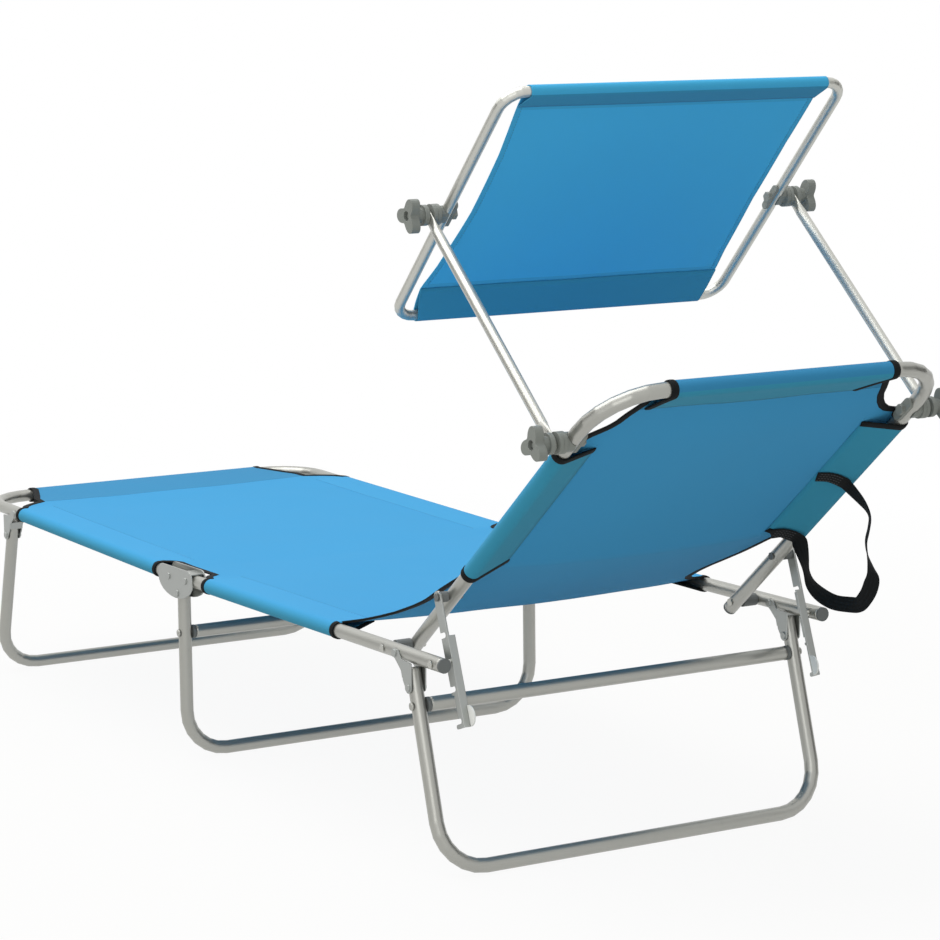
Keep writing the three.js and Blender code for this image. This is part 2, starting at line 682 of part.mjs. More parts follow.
const rackBodies = Object.fromEntries(sides.map(([, name]) => [name, racks.clone()]));
for (const [side, name] of sides) {
  back.add(rackBodies[name]);
  node(rackBodies[name], `rack_${name}`, rackBar(side), silver);
  node(rackBodies[name], `rack_tab_${name}`, rackTab(side), whitePlastic);
  node(back, `rack_pivot_${name}`, rackPivot(side), darkPlastic);
}

// Clamps: a jaw with its bolt on the tube, a disc and a knob on the arm

const jawFaceY = backOuterY + BACK_JAW_FACE_WALL + CLAMP_DISC_THICKNESS;
const discInnerY = jawFaceY + FIT_GAP;
const discOuterY = discInnerY + CLAMP_DISC_THICKNESS;
const armMidY = discOuterY + FIT_GAP + ARM_FLAT_THICKNESS / 2;
const armOuterFace = armMidY + ARM_FLAT_THICKNESS / 2;
const canopyHalfWidth = jawFaceY - CLAMP_DISC_THICKNESS - CANOPY_JAW_FACE_WALL - CANOPY_TUBE_RADIUS;
const knobStart = armOuterFace + FIT_GAP;
const knobEnd = knobStart + KNOB_FLANGE_LENGTH + KNOB_NECK_LENGTH + KNOB_HANDLE_LENGTH;

function boltHole(x, z, side) {
  return rivetHole(x, z, side, discInnerY - CUT_OVERRUN, knobEnd, CLAMP_BOLT_RADIUS);
}

// A bar's outline with round ends, along X.
function pillShape(length, halfHeight) {
  const points = [];
  for (const end of [1, -1]) {
    for (let i = 0; i <= ARC_STEPS; i++) {
      const angle = Math.PI * (i / ARC_STEPS - 1 / 2);
      const reach = length / 2 - halfHeight + halfHeight * Math.cos(angle);
      points.push([end * reach, end * halfHeight * Math.sin(angle)]);
    }
  }
  return shapeOf(points);
}

// Half heights of the jaw's block and of its saddle, as shares of the tube's radius.
const jawShares = { block: 1.25, saddle: 0.72 };

// The jaw's block and its saddle clasp the tube at the group's origin; its own disc faces the
// one on the arm.
function clampJaw(side, x, tubeY, tubeRadius) {
  const discY = jawFaceY - CLAMP_DISC_THICKNESS;
  const inner = tubeY - tubeRadius - JAW_WALL;
  const block = plate(pillShape(JAW_LENGTH, jawShares.block * tubeRadius), side, tubeY, discY);
  const saddle = plate(pillShape(SADDLE_LENGTH, jawShares.saddle * tubeRadius), side, inner,
    tubeY - tubeRadius / 2);
  const disc = crossRod(x, 0, side, discY, jawFaceY, CLAMP_DISC_RADIUS, ROUND_SIDES);
  const y = side * tubeY;
  const bore = rod(at(x - SADDLE_LENGTH, y, 0), at(x + SADDLE_LENGTH, y, 0),
    tubeRadius + FIT_GAP, TUBE_SIDES);
  const clasp = join(block.translate(x, 0, 0), saddle.translate(x, 0, 0), disc);
  const nut = crossRod(x, 0, side, inner - CLAMP_NUT_LENGTH, inner, CLAMP_NUT_RADIUS, NUT_SIDES);
  const bolt = crossRod(x, 0, side, inner, knobEnd - KNOB_RECESS_DEPTH / 2, CLAMP_BOLT_RADIUS);
  return join(cut(clasp, bore), nut, bolt);
}

function armDisc(side, x) {
  const disc = crossRod(x, 0, side, discInnerY, discOuterY, CLAMP_DISC_RADIUS, ROUND_SIDES);
  return cut(disc, boltHole(x, 0, side));
}

// Three lobes round a neck, with the bolt's end in a recess.
function lobedShape(turnDeg) {
  const points = [];
  for (let i = 0; i < 2 * ROUND_SIDES; i++) {
    const angle = Math.PI * i / ROUND_SIDES;
    const lobe = Math.cos(KNOB_LOBES * (angle - radians(turnDeg)));
    const radius = KNOB_RADIUS + KNOB_LOBE_DEPTH * lobe;
    points.push([radius * Math.cos(angle), radius * Math.sin(angle)]);
  }
  return shapeOf(points);
}

function knob(side, x, turnDeg) {
  const neckStart = knobStart + KNOB_FLANGE_LENGTH;
  const handleStart = neckStart + KNOB_NECK_LENGTH;
  const flange = crossRod(x, 0, side, knobStart, neckStart, KNOB_FLANGE_RADIUS, ROUND_SIDES);
  const neck = crossRod(x, 0, side, neckStart, handleStart, KNOB_NECK_RADIUS, ROUND_SIDES);
  const handle = plate(lobedShape(turnDeg), side, handleStart, knobEnd).translate(x, 0, 0);
  const recess = crossRod(x, 0, side, knobEnd - KNOB_RECESS_DEPTH, knobEnd + CUT_OVERRUN,
    KNOB_RECESS_RADIUS);
  return cut(join(flange, neck, handle), boltHole(x, 0, side), recess);
}

for (const [side, name] of sides) {
  const lowerJaw = clampJaw(side, clampReach, backHalfWidth, FRAME_TUBE_RADIUS);
  const upperJaw = clampJaw(side, 0, canopyHalfWidth, CANOPY_TUBE_RADIUS);
  node(back, `lower_clamp_jaw_${name}`, lowerJaw, greyPlastic);
  node(canopy, `upper_clamp_jaw_${name}`, upperJaw, greyPlastic);
  node(arms, `lower_clamp_disc_${name}`, armDisc(side, 0), greyPlastic);
  node(arms, `upper_clamp_disc_${name}`, armDisc(side, ARM_LENGTH), greyPlastic);
  node(arms, `lower_knob_${name}`, knob(side, 0, LOWER_KNOB_TURN_DEG), greyPlastic);
  node(arms, `upper_knob_${name}`, knob(side, ARM_LENGTH, UPPER_KNOB_TURN_DEG), greyPlastic);
}

// Canopy arms: tubes with flattened, rounded ends

// A closed skin through rings of points, all with the same count.
function loft(rings) {
  const count = rings[0].length;
  const positions = rings.flat().flatMap((point) => point.toArray());
  const index = [];
  for (let i = 1; i < count - 1; i++) index.push(0, i + 1, i);
  const last = (rings.length - 1) * count;
  for (let i = 1; i < count - 1; i++) index.push(last, last + i, last + i + 1);
  for (let r = 0; r < rings.length - 1; r++) {
    for (let i = 0; i < count; i++) {
      const a = r * count + i;
      const b = r * count + (i + 1) % count;
      index.push(a, b, b + count, a, b + count, a + count);
    }
  }
  const geometry = new THREE.BufferGeometry();
  geometry.setAttribute('position', new THREE.Float32BufferAttribute(positions, 3));
  geometry.setIndex(index);
  return geometry;
}

function ovalRing(x, y, halfHeight, halfThickness) {
  const corner = 1 / Math.cos(Math.PI / TUBE_SIDES);
  return Array.from({ length: TUBE_SIDES }, (_, i) => {
    const angle = (2 * i + 1) * Math.PI / TUBE_SIDES;
    return at(x, y + halfThickness * corner * Math.cos(angle), halfHeight * corner * Math.sin(angle));
  });
}

// Half height of the flattened end at shares of its rounded tip.
const armTipShares = [[1, 0.35], [0.8, 0.62], [0.45, 0.88], [0, 1]];
const armFlatHeight = Math.PI * CANOPY_TUBE_RADIUS / 2 - ARM_FLAT_THICKNESS / 2;

function armTube(side) {
  const y = side * armMidY;
  const flat = ARM_FLAT_THICKNESS / 2;
  const flatEnd = ARM_FLAT_LENGTH - armFlatHeight;
  const tip = armTipShares.map(([reach, height]) =>
    [-reach * armFlatHeight, height * armFlatHeight, flat]);
  const half = [...tip, [flatEnd, armFlatHeight, flat],
    [flatEnd + ARM_TAPER_LENGTH, CANOPY_TUBE_RADIUS, CANOPY_TUBE_RADIUS]];
  const otherHalf = half.map(([x, height, thick]) => [ARM_LENGTH - x, height, thick]).reverse();
  const rings = [...half, ...otherHalf].map(([x, height, thick]) => ovalRing(x, y, height, thick));
  return cut(loft(rings), boltHole(0, 0, side), boltHole(ARM_LENGTH, 0, side));
}

for (const [side, name] of sides) node(arms, `canopy_arm_${name}`, armTube(side), silver);

// Canopy frame: a closed loop of tube, butted in the middle of its bottom bar

function canopyTube() {
  const y = canopyHalfWidth;
  const corners = [at(-CANOPY_BOTTOM_REACH, -FIT_GAP / 2, 0), at(-CANOPY_BOTTOM_REACH, -y, 0),
    at(CANOPY_TOP_REACH, -y, 0), at(CANOPY_TOP_REACH, y, 0), at(-CANOPY_BOTTOM_REACH, y, 0),
    at(-CANOPY_BOTTOM_REACH, FIT_GAP / 2, 0)];
  const blank = tube(bentPath(corners, CANOPY_CORNER_RADIUS), CANOPY_TUBE_RADIUS);
  const inner = canopyHalfWidth - CANOPY_TUBE_RADIUS;
  const outer = canopyHalfWidth + CANOPY_TUBE_RADIUS;
  return cut(blank, ...sides.map(([side]) => rivetHole(0, 0, side, inner, outer, CLAMP_BOLT_RADIUS)));
}

node(canopy, 'canopy_tube', canopyTube(), silver);

// Cloth: a sheet over the tops of the tubes, sewn back on itself round them

const sleeveInner = FRAME_TUBE_RADIUS + FIT_GAP;
const sleeveOuter = sleeveInner + CLOTH_THICKNESS;

function spread(low, high, count) {
  return Array.from({ length: count + 1 }, (_, i) => low + (high - low) * i / count);
}

// A sheet of even thickness over a grid, its upper face given by a height at each place.
function sheet(xs, ys, topAt) {
  const positions = [];
  for (const drop of [0, CLOTH_THICKNESS]) {
    for (const x of xs) for (const y of ys) positions.push(x, y, topAt(x, y) - drop);
  }
  const lower = xs.length * ys.length;
  const place = (i, j) => i * ys.length + j;
  const index = [];
  const quad = (a, b, c, d) => index.push(a, b, c, a, c, d);
  for (let i = 0; i < xs.length - 1; i++) {
    for (let j = 0; j < ys.length - 1; j++) {
      const ring = [place(i, j), place(i + 1, j), place(i + 1, j + 1), place(i, j + 1)];
      quad(...ring);
      quad(...ring.map((p) => p + lower).reverse());
    }
  }
  const wall = (a, b) => quad(a, a + lower, b + lower, b);
  const lastI = xs.length - 1;
  const lastJ = ys.length - 1;
  for (let i = 0; i < lastI; i++) {
    wall(place(i, 0), place(i + 1, 0));
    wall(place(i + 1, lastJ), place(i, lastJ));
  }
  for (let j = 0; j < lastJ; j++) {
    wall(place(0, j + 1), place(0, j));
    wall(place(lastI, j), place(lastI, j + 1));
  }
  const geometry = new THREE.BufferGeometry();
  geometry.setAttribute('position', new THREE.Float32BufferAttribute(positions, 3));
  geometry.setIndex(index);
  return geometry;
}

// The section of cloth that turns round a tube and tapers to its seam, in distance inwards and up.
function turnedShape(radius, inset, seamHeight) {
  const angle = Math.atan2(seamHeight, inset) - Math.acos(radius / Math.hypot(inset, seamHeight));
  return shapeOf([
    [0, 0], [radius * Math.cos(angle), radius * Math.sin(angle)], [inset, seamHeight],
    [0, radius - CLOTH_THICKNESS / 2],
  ]);
}

// Cloth round a side tube between two places along it.
function sleeve(start, end, side, halfWidth, radius, inset, seamHeight) {
  const wedge = new THREE.ExtrudeGeometry(turnedShape(radius, inset, seamHeight),
    { depth: end - start, bevelEnabled: false });
  wedge.applyMatrix4(new THREE.Matrix4().makeBasis(at(0, -side, 0), at(0, 0, 1), at(-side, 0, 0)));
  wedge.translate(side > 0 ? end : start, side * halfWidth, 0);
  const y = side * halfWidth;
  return join(rod(at(start, y, 0), at(end, y, 0), radius, TUBE_SIDES), wedge);
}

// Cloth round a cross bar; towards is +1 where the sheet runs to +X from the bar.
function hem(barX, towards, halfWidth, radius, length, seamHeight) {
  const wedge = new THREE.ExtrudeGeometry(turnedShape(radius, length, seamHeight),
    { depth: 2 * halfWidth, bevelEnabled: false });
  wedge.applyMatrix4(new THREE.Matrix4().makeBasis(at(towards, 0, 0), at(0, 0, 1), at(0, -towards, 0)));
  wedge.translate(barX, towards * halfWidth, 0);
  return join(rod(at(barX, -halfWidth, 0), at(barX, halfWidth, 0), radius, TUBE_SIDES), wedge);
}

function tubeRoom(start, end, side, halfWidth, radius) {
  const y = side * halfWidth;
  return rod(at(start - CUT_OVERRUN, y, 0), at(end + CUT_OVERRUN, y, 0), radius, TUBE_SIDES);
}

// Removes what lies outside an outline on both sides, drawn in X and the distance from the middle.
function trimmed(geometry, outline, reach) {
  const tools = sides.map(([side]) => slab(shapeOf(outline.map(([x, y]) => [x, side * y])), -reach, reach));
  return cut(geometry, ...tools);
}

function sag(depth, y, halfWidth) {
  return depth * (1 - (y / halfWidth) ** 2);
}

const clothReach = 4 * FRAME_TUBE_RADIUS;
const edgeY = FRAME_HALF_WIDTH + clothReach;
const seamDrop = (depth, halfWidth) => sag(depth, halfWidth - SLEEVE_SEAM_INSET, halfWidth);
const footHemHalfWidth = FRAME_HALF_WIDTH - FOOT_CORNER_RADIUS - FOOT_HEM_BEND_GAP;
const footNotchShare = 0.7;
const hingeCutOutY = FRAME_HALF_WIDTH - HINGE_CUT_OUT_DEPTH;
const seatClothEnd = backPivotLocal - LAP_REACH;

function across(halfWidth) {
  return spread(-halfWidth, halfWidth, CLOTH_WIDTH_STEPS);
}

function seatTop(x, y) {
  const rampStart = -FOOT_LENGTH + sleeveOuter;
  const rise = THREE.MathUtils.smoothstep(x, rampStart, rampStart + FOOT_SAG_RAMP);
  return sleeveOuter - rise * sag(SEAT_SAG, y, FRAME_HALF_WIDTH);
}

function footCloth() {
  const sleeveInset = FOOT_LEG_INSET + BRACKET_LENGTH + SLEEVE_BRACKET_GAP;
  const start = sleeveInset - FOOT_LENGTH;
  const end = -HINGE_CLOTH_BEFORE;
  const sleeveEnd = -HINGE_SLEEVE_GAP;
  const notchX = sleeveInset * footNotchShare - FOOT_LENGTH;
  const notchY = FRAME_HALF_WIDTH - FOOT_NOTCH_DEPTH;
  const seam = sleeveInner + CLOTH_THICKNESS / 2;
  const body = sheet(spread(-FOOT_LENGTH, end, FOOT_CLOTH_STEPS), across(FRAME_HALF_WIDTH), seatTop);
  const turned = sides.map(([side]) => sleeve(start, end, side, FRAME_HALF_WIDTH, sleeveOuter,
    SLEEVE_SEAM_INSET, seam - seamDrop(SEAT_SAG, FRAME_HALF_WIDTH)));
  const room = sides.map(([side]) => tubeRoom(start, end, side, FRAME_HALF_WIDTH, sleeveInner));
  const band = hem(-FOOT_LENGTH, 1, footHemHalfWidth, sleeveOuter, FOOT_HEM_LENGTH, seam);
  const bar = rod(at(-FOOT_LENGTH, -edgeY, 0), at(-FOOT_LENGTH, edgeY, 0), sleeveInner, TUBE_SIDES);
  const whole = cut(join(body, ...turned, band), ...room, bar);
  const corner = trimmed(whole, [
    [-FOOT_LENGTH - clothReach, footHemHalfWidth - FIT_GAP],
    [-FOOT_LENGTH + sleeveOuter, footHemHalfWidth],
    [notchX - sleeveOuter, notchY], [notchX, notchY],
    [start - sleeveOuter, tubeInnerY - sleeveOuter], [start, tubeOuterY], [start, edgeY],
    [-FOOT_LENGTH - clothReach, edgeY],
  ], clothReach);
  return trimmed(corner, [
    [sleeveEnd, edgeY], [sleeveEnd, tubeOuterY], [sleeveEnd + sleeveOuter, hingeCutOutY],
    [end + CUT_OVERRUN, hingeCutOutY], [end + CUT_OVERRUN, edgeY],
  ], clothReach);
}

// The span over the hinge that bends as the foot section folds.
function hingeCloth() {
  const low = -HINGE_CLOTH_BEFORE + FIT_GAP;
  const high = HINGE_CLOTH_AFTER - FIT_GAP;
  return sheet(spread(low, high, HINGE_CLOTH_STEPS), across(hingeCutOutY - FIT_GAP), seatTop);
}

function seatCloth() {
  const start = HINGE_CLOTH_AFTER;
  const end = seatClothEnd;
  const seam = sleeveInner + CLOTH_THICKNESS / 2 - seamDrop(SEAT_SAG, FRAME_HALF_WIDTH);
  const body = sheet(spread(start, end, SEAT_CLOTH_STEPS), across(FRAME_HALF_WIDTH), seatTop);
  const turned = sides.map(([side]) => sleeve(start, end, side, FRAME_HALF_WIDTH, sleeveOuter,
    SLEEVE_SEAM_INSET, seam));
  const room = sides.map(([side]) => tubeRoom(start, end, side, FRAME_HALF_WIDTH, sleeveInner));
  return trimmed(cut(join(body, ...turned), ...room), [
    [SEAT_SLEEVE_START, edgeY], [SEAT_SLEEVE_START, tubeOuterY],
    [SEAT_SLEEVE_START - sleeveOuter, hingeCutOutY],
    [start - CUT_OVERRUN, hingeCutOutY], [start - CUT_OVERRUN, edgeY],
  ], clothReach);
}

// The span that bends as the backrest reclines: an arc that touches the seat and the back alike.
const lapHalfWidth = backHalfWidth - LAP_INSET;
const lapWidthShares = [1.16, 1.08, 1.02, 1, 1, 1, 1];

function lapCloth() {
  const gap = FIT_GAP / BACK_SLEEVE_START;
  const path = spread(gap, 1 - gap, lapWidthShares.length - 1).map((share) => {
    const from = at(-LAP_REACH, 0, 0).multiplyScalar((1 - share) ** 2);
    const to = at(Math.cos(recline), 0, Math.sin(recline)).multiplyScalar(BACK_SLEEVE_START);
    return { point: from.addScaledVector(to, share ** 2), turn: recline * share };
  });
  const rings = path.map(({ point, turn }, i) => {
    const normal = at(-Math.sin(turn), 0, Math.cos(turn));
    const places = across(lapHalfWidth * lapWidthShares[i]);
    const face = (y, low) => {
      const height = sleeveOuter - sag(SEAT_SAG, y, FRAME_HALF_WIDTH) - low;
      return point.clone().addScaledVector(normal, height).setY(y).add(at(backPivotLocal, 0, 0));
    };
    const upper = places.map((y) => face(y, 0));
    return [...upper, ...places.reverse().map((y) => face(y, CLOTH_THICKNESS))];
  });
  return strip(rings.reverse());
}

// Like a loft, for rings that are two matching rows of points.
function strip(rings) {
  const count = rings[0].length;
  const geometry = loft(rings);
  const index = Array.from(geometry.index.array).slice(2 * 3 * (count - 2));
  const last = (rings.length - 1) * count;
  for (let i = 0; i < count / 2 - 1; i++) {
    const quad = [i, i + 1, count - 2 - i, count - 1 - i];
    index.push(quad[0], quad[2], quad[1], quad[0], quad[3], quad[2]);
    index.push(...[quad[0], quad[1], quad[2], quad[0], quad[2], quad[3]].map((p) => p + last));
  }
  geometry.setIndex(index);
  return geometry;
}

function backTop(x, y) {
  const rise = THREE.MathUtils.smoothstep(BACK_LENGTH - sleeveOuter - x, 0, BACK_SAG_RAMP);
  return sleeveOuter - rise * sag(BACK_SAG, y, backHalfWidth);
}

// The edge round each upper corner, in shares of the way from the clamp to the top bar and of the
// top hem's distance in from the side tube.
const backCornerShares = [[0.88, 1.01], [0.7, 0.98], [0.68, 0.73], [0.49, 0.63]];

function backCutOut(sleeveEnd, hemInset) {
  const clampInset = FRAME_TUBE_RADIUS + JAW_WALL + CLAMP_NUT_LENGTH + CLAMP_CLOTH_GAP;
  const jawHalf = JAW_LENGTH / 2;
  return [
    [BACK_LENGTH + clothReach, backHalfWidth - hemInset],
    ...backCornerShares.map(([along, inward]) => [
      clampReach + along * (BACK_LENGTH - clampReach), backHalfWidth - inward * hemInset]),
    [clampReach + jawHalf + 2 * CLAMP_CLOTH_GAP, backHalfWidth - 2 * clampInset],
    [clampReach - jawHalf, backHalfWidth - clampInset],
    [sleeveEnd, backOuterY - FRAME_TUBE_RADIUS / 2], [sleeveEnd, edgeY],
    [BACK_LENGTH + clothReach, edgeY],
  ];
}

function backCloth() {
  const start = BACK_SLEEVE_START;
  const sleeveEnd = clampReach - CLAMP_SLEEVE_GAP;
  const hemInset = BACK_CORNER_RADIUS + BACK_HEM_BEND_GAP;
  const body = sheet(spread(start, BACK_LENGTH, BACK_CLOTH_STEPS), across(backHalfWidth), backTop);
  const middleHeight = sleeveInner + CLOTH_THICKNESS / 2;
  const turned = sides.map(([side]) => sleeve(start, sleeveEnd, side, backHalfWidth, sleeveOuter,
    SLEEVE_SEAM_INSET, middleHeight - seamDrop(BACK_SAG, backHalfWidth)));
  const room = sides.map(([side]) => tubeRoom(start, BACK_LENGTH, side, backHalfWidth, sleeveInner));
  const band = hem(BACK_LENGTH, -1, backHalfWidth - hemInset, sleeveOuter, BACK_HEM_LENGTH,
    middleHeight);
  const bar = rod(at(BACK_LENGTH, -edgeY, 0), at(BACK_LENGTH, edgeY, 0), sleeveInner, TUBE_SIDES);
  const whole = cut(join(body, ...turned, band), ...room, bar);
  const corner = trimmed(whole, backCutOut(sleeveEnd, hemInset), clothReach);
  return trimmed(corner, [
    [start - CUT_OVERRUN, edgeY], [start - CUT_OVERRUN, lapHalfWidth - sleeveOuter],
    [start + 2 * sleeveOuter, lapHalfWidth - 2 * sleeveOuter], [start, backOuterY], [start, edgeY],
  ], clothReach);
}

node(foot, 'foot_cloth', footCloth(), seatFabric);
node(seat, 'hinge_cloth', hingeCloth(), seatFabric);
node(seat, 'seat_cloth', seatCloth(), seatFabric);
node(seat, 'lap_cloth', lapCloth(), seatFabric);
node(back, 'back_cloth', backCloth(), seatFabric);

// Canopy cloth: hemmed round the two bars, its side edges drawn in

function canopyCloth() {
  const inner = CANOPY_TUBE_RADIUS + FIT_GAP;
  const outer = inner + CLOTH_THICKNESS;
  const length = CANOPY_TOP_REACH + CANOPY_BOTTOM_REACH;
  const topAt = (x) => {
    const share = (x + CANOPY_BOTTOM_REACH) / length;
    return outer - CANOPY_SAG * 4 * share * (1 - share);
  };
  const half = canopyHalfWidth - CANOPY_CORNER_RADIUS - CANOPY_HEM_BEND_GAP;
  const places = spread(-CANOPY_BOTTOM_REACH, CANOPY_TOP_REACH, CANOPY_CLOTH_STEPS);
  const body = sheet(places, [-half, 0, half], topAt);
  const hemOf = (barX, towards, reach) =>
    hem(barX, towards, half, outer, reach, topAt(barX + towards * reach) - CLOTH_THICKNESS / 2);
  const bars = [-CANOPY_BOTTOM_REACH, CANOPY_TOP_REACH].map((x) =>
    rod(at(x, -edgeY, 0), at(x, edgeY, 0), inner, TUBE_SIDES));
  const hems = [hemOf(-CANOPY_BOTTOM_REACH, 1, CANOPY_BOTTOM_HEM_LENGTH),
    hemOf(CANOPY_TOP_REACH, -1, CANOPY_TOP_HEM_LENGTH)];
  const whole = cut(join(body, ...hems), ...bars);
  const edge = places.map((x) => {
    const share = (x + CANOPY_BOTTOM_REACH) / length;
    return [x, half - CANOPY_WAIST_DEPTH * Math.sin(Math.PI * share)];
  });
  return trimmed(whole, [...edge, [CANOPY_TOP_REACH, edgeY], [-CANOPY_BOTTOM_REACH, edgeY]], clothReach);
}

node(canopy, 'canopy_cloth', canopyCloth(), canopyFabric);

// Webbing strap: a flat band sewn to the sleeve at both ends, its width across the lounger

// Places along its middle from the top patch, in shares of how far it hangs: towards the head,
// outwards and up.
const strapRouteShares = [
  [-0.09, -0.013, -0.074], [0, 0, 0], [0.09, 0.013, 0.026], [0.167, 0.019, -0.038],
  [0.212, 0.019, -0.141], [0.212, 0.006, -0.269], [0.231, 0, -0.41], [0.263, 0, -0.564],
  [0.276, 0, -0.718], [0.231, 0, -0.853], [0.128, 0, -0.942], [-0.026, 0, -0.987],
  [-0.192, 0, -1], [-0.346, 0, -0.974], [-0.462, 0, -0.904], [-0.526, 0, -0.795],
  [-0.564, 0, -0.679], [-0.609, -0.006, -0.596], [-0.686, -0.013, -0.609], [-0.763, -0.019, -0.672],
];

function strap() {
  const group = new THREE.Group();
  group.position.set(STRAP_TOP_REACH, backHalfWidth - STRAP_INSET,
    -sleeveOuter - STRAP_THICKNESS / 2 - FIT_GAP);
  group.rotation.y = recline + seatRise;
  back.add(group);
  const route = strapRouteShares.map(([x, y, z]) => at(x, y, z).multiplyScalar(STRAP_HANG));
  const outwards = at(0, 1, 0);
  const rings = route.map((point, i) => {
    const next = route[Math.min(i + 1, route.length - 1)];
    const ahead = next.clone().sub(route[Math.max(i - 1, 0)]).normalize();
    const normal = ahead.cross(outwards).normalize();
    const corner = (wide, thick) => point.clone()
      .addScaledVector(outwards, wide * STRAP_WIDTH / 2)
      .addScaledVector(normal, thick * STRAP_THICKNESS / 2);
    return [corner(-1, -1), corner(1, -1), corner(1, 1), corner(-1, 1)];
  });
  return node(group, 'strap', loft(rings), blackWebbing);
}

strap();

// Centre the finished lounger on its footprint, standing on the floor.
lounger.updateMatrixWorld(true);
const bounds = new THREE.Box3().setFromObject(lounger, true);
const middle = bounds.getCenter(new THREE.Vector3());
lounger.position.set(-middle.x, -middle.y, -bounds.min.z);

export default lounger;
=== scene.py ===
"""Cloth, webbing, finishes and studio for a folding sun lounger with a tilting canopy."""

import json
import math
from typing import NamedTuple

import bpy
from mathutils import Matrix, Vector, noise


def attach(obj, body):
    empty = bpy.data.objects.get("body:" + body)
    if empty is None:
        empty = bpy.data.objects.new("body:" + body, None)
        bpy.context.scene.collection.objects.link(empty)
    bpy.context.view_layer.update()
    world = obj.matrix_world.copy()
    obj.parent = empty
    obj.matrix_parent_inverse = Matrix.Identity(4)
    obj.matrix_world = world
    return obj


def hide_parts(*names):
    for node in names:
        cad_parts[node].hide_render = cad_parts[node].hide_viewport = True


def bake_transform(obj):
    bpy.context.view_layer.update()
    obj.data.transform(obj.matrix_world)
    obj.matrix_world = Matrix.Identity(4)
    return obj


bl_info = {
    "name": "Sun lounger looks",
    "version": (1, 0, 0),
    "blender": (4, 5, 0),
    "location": "3D View > Sidebar > Lounger",
    "description": "Makes the cloth, webbing, finishes and studio of a folding sun lounger",
    "category": "Object",
}

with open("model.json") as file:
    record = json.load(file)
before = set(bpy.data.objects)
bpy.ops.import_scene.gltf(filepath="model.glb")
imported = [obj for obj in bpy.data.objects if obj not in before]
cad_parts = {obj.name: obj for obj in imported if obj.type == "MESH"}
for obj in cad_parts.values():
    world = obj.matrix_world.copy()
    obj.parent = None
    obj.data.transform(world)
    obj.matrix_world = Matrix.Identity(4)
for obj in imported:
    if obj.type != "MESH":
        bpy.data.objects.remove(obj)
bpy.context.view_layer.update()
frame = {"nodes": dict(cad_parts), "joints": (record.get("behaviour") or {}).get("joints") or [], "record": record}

MM = 0.001
ACROSS = Vector((0, 1, 0))

# Sizes of the frame that the cloth follows, in millimetres and degrees, as in the part's source
TUBE_RADIUS = 9
FRAME_HALF_WIDTH = 280
BACK_HALF_WIDTH = 240.5
CANOPY_TUBE_RADIUS = 6.5
FOOT_LENGTH = 706
BACK_LENGTH = 561
BACK_PIVOT = 612
CANOPY_TOP = 206
CANOPY_BOTTOM = 186
FOOT_RISE = 0.811
SEAT_RISE = 0.568
BACK_RISE = 39.368
CANOPY_RISE = 45.768

# Places along each section where sleeves, hems and bends of the cloth start or end
FOOT_SLEEVE = (-548, -48)
HINGE_BEND = (-22, 26)
SEAT_SLEEVE_START = 104
SEAT_CLOTH_END = 484
LAP_REACH = 168
BACK_SLEEVE_END = 443
FOOT_HEM = 112
BACK_HEM = 50
CANOPY_LOW_HEM = 46
CANOPY_TOP_HEM = 30
SEAM_INSET = 50
CANOPY_SEAM_INSET = 7

# Heights of the cloth: over a tube's middle, how far below that a flap lies at its seam, and how
# far the cloth's middle hangs. The lap's bend is drawn by a share towards the backrest's pivot
CLOTH_HEIGHT = TUBE_RADIUS + 1.1
CANOPY_CLOTH_HEIGHT = CANOPY_TUBE_RADIUS + 0.9
SEAM_GAP = 1.2
SEAT_DIP = 7
BACK_DIP = 9
CANOPY_DIP = 8
LAP_PULL = 0.12

# How far in from an end bar the cloth's hang and its creases grow to their full size
FOOT_DIP_FADE, FOOT_SLACK_FADE = 220, 90
BACK_DIP_FADE, BACK_SLACK_FADE = 135, 60
CANOPY_SLACK_FADE = 70

# Waves of slack cloth, broad and fine: how often they come along and across the cloth for each
# millimetre, where their noise is read, and their height in millimetres
CREASES = ((0.006, 0.009, (0, 0.3), 1.5), (0.019, 0.026, (5, 1.7), 0.35))

# Steps of the cloth's grid: between its seams, outside each seam, round a tube and on a flap,
# and over the lap. A sleeve fades to painted shade on its under side over the fade's steps
INNER_STEPS = 26
OUTER_STEPS = 4
SLEEVE_STEPS = (12, 5)
UNDER_SHADE_FADE_STEPS = 7
FOOT_HEM_STEPS = (14, 8)
BACK_HEM_STEPS = (14, 6)
LAP_STEPS = 28

# Runs of the cloth's rows along its sections: from, to and the longest step
FRONT_RUNS = ((-FOOT_LENGTH, -550, 6), (-540, -60, 12), (-52, 108, 5), (120, SEAT_CLOTH_END, 12))
BACK_RUNS = ((LAP_REACH, 424, 11), (428, BACK_SLEEVE_END, 5), (445, 471, 2), (475, 540, 4),
             (543, BACK_LENGTH, 4))
CANOPY_RUNS = ((-CANOPY_BOTTOM, CANOPY_TOP, 9),)

# The length of one step of the foot's hem, and the steps past which a hem takes a darker finish,
# painted shade on its under side, counted from the last one on its bar
FOOT_HEM_STEP = 3
BACK_UNDER, CANOPY_LOW_UNDER, CANOPY_TOP_UNDER = -4, -3, -2

# The columns of the grid on its two seams, and on its left and right edges
SEAMS = (OUTER_STEPS, OUTER_STEPS + INNER_STEPS)
EDGE = {-1: 0, 1: INNER_STEPS + 2 * OUTER_STEPS}

# The kinds of place on a cloth, each with a finish of its own. Past the single cloth, the kinds
# take darker copies of its finish, painted shade on doubled and turned-under cloth
SINGLE, DOUBLED, HEM, FLAP = 1, 2, 3, 4

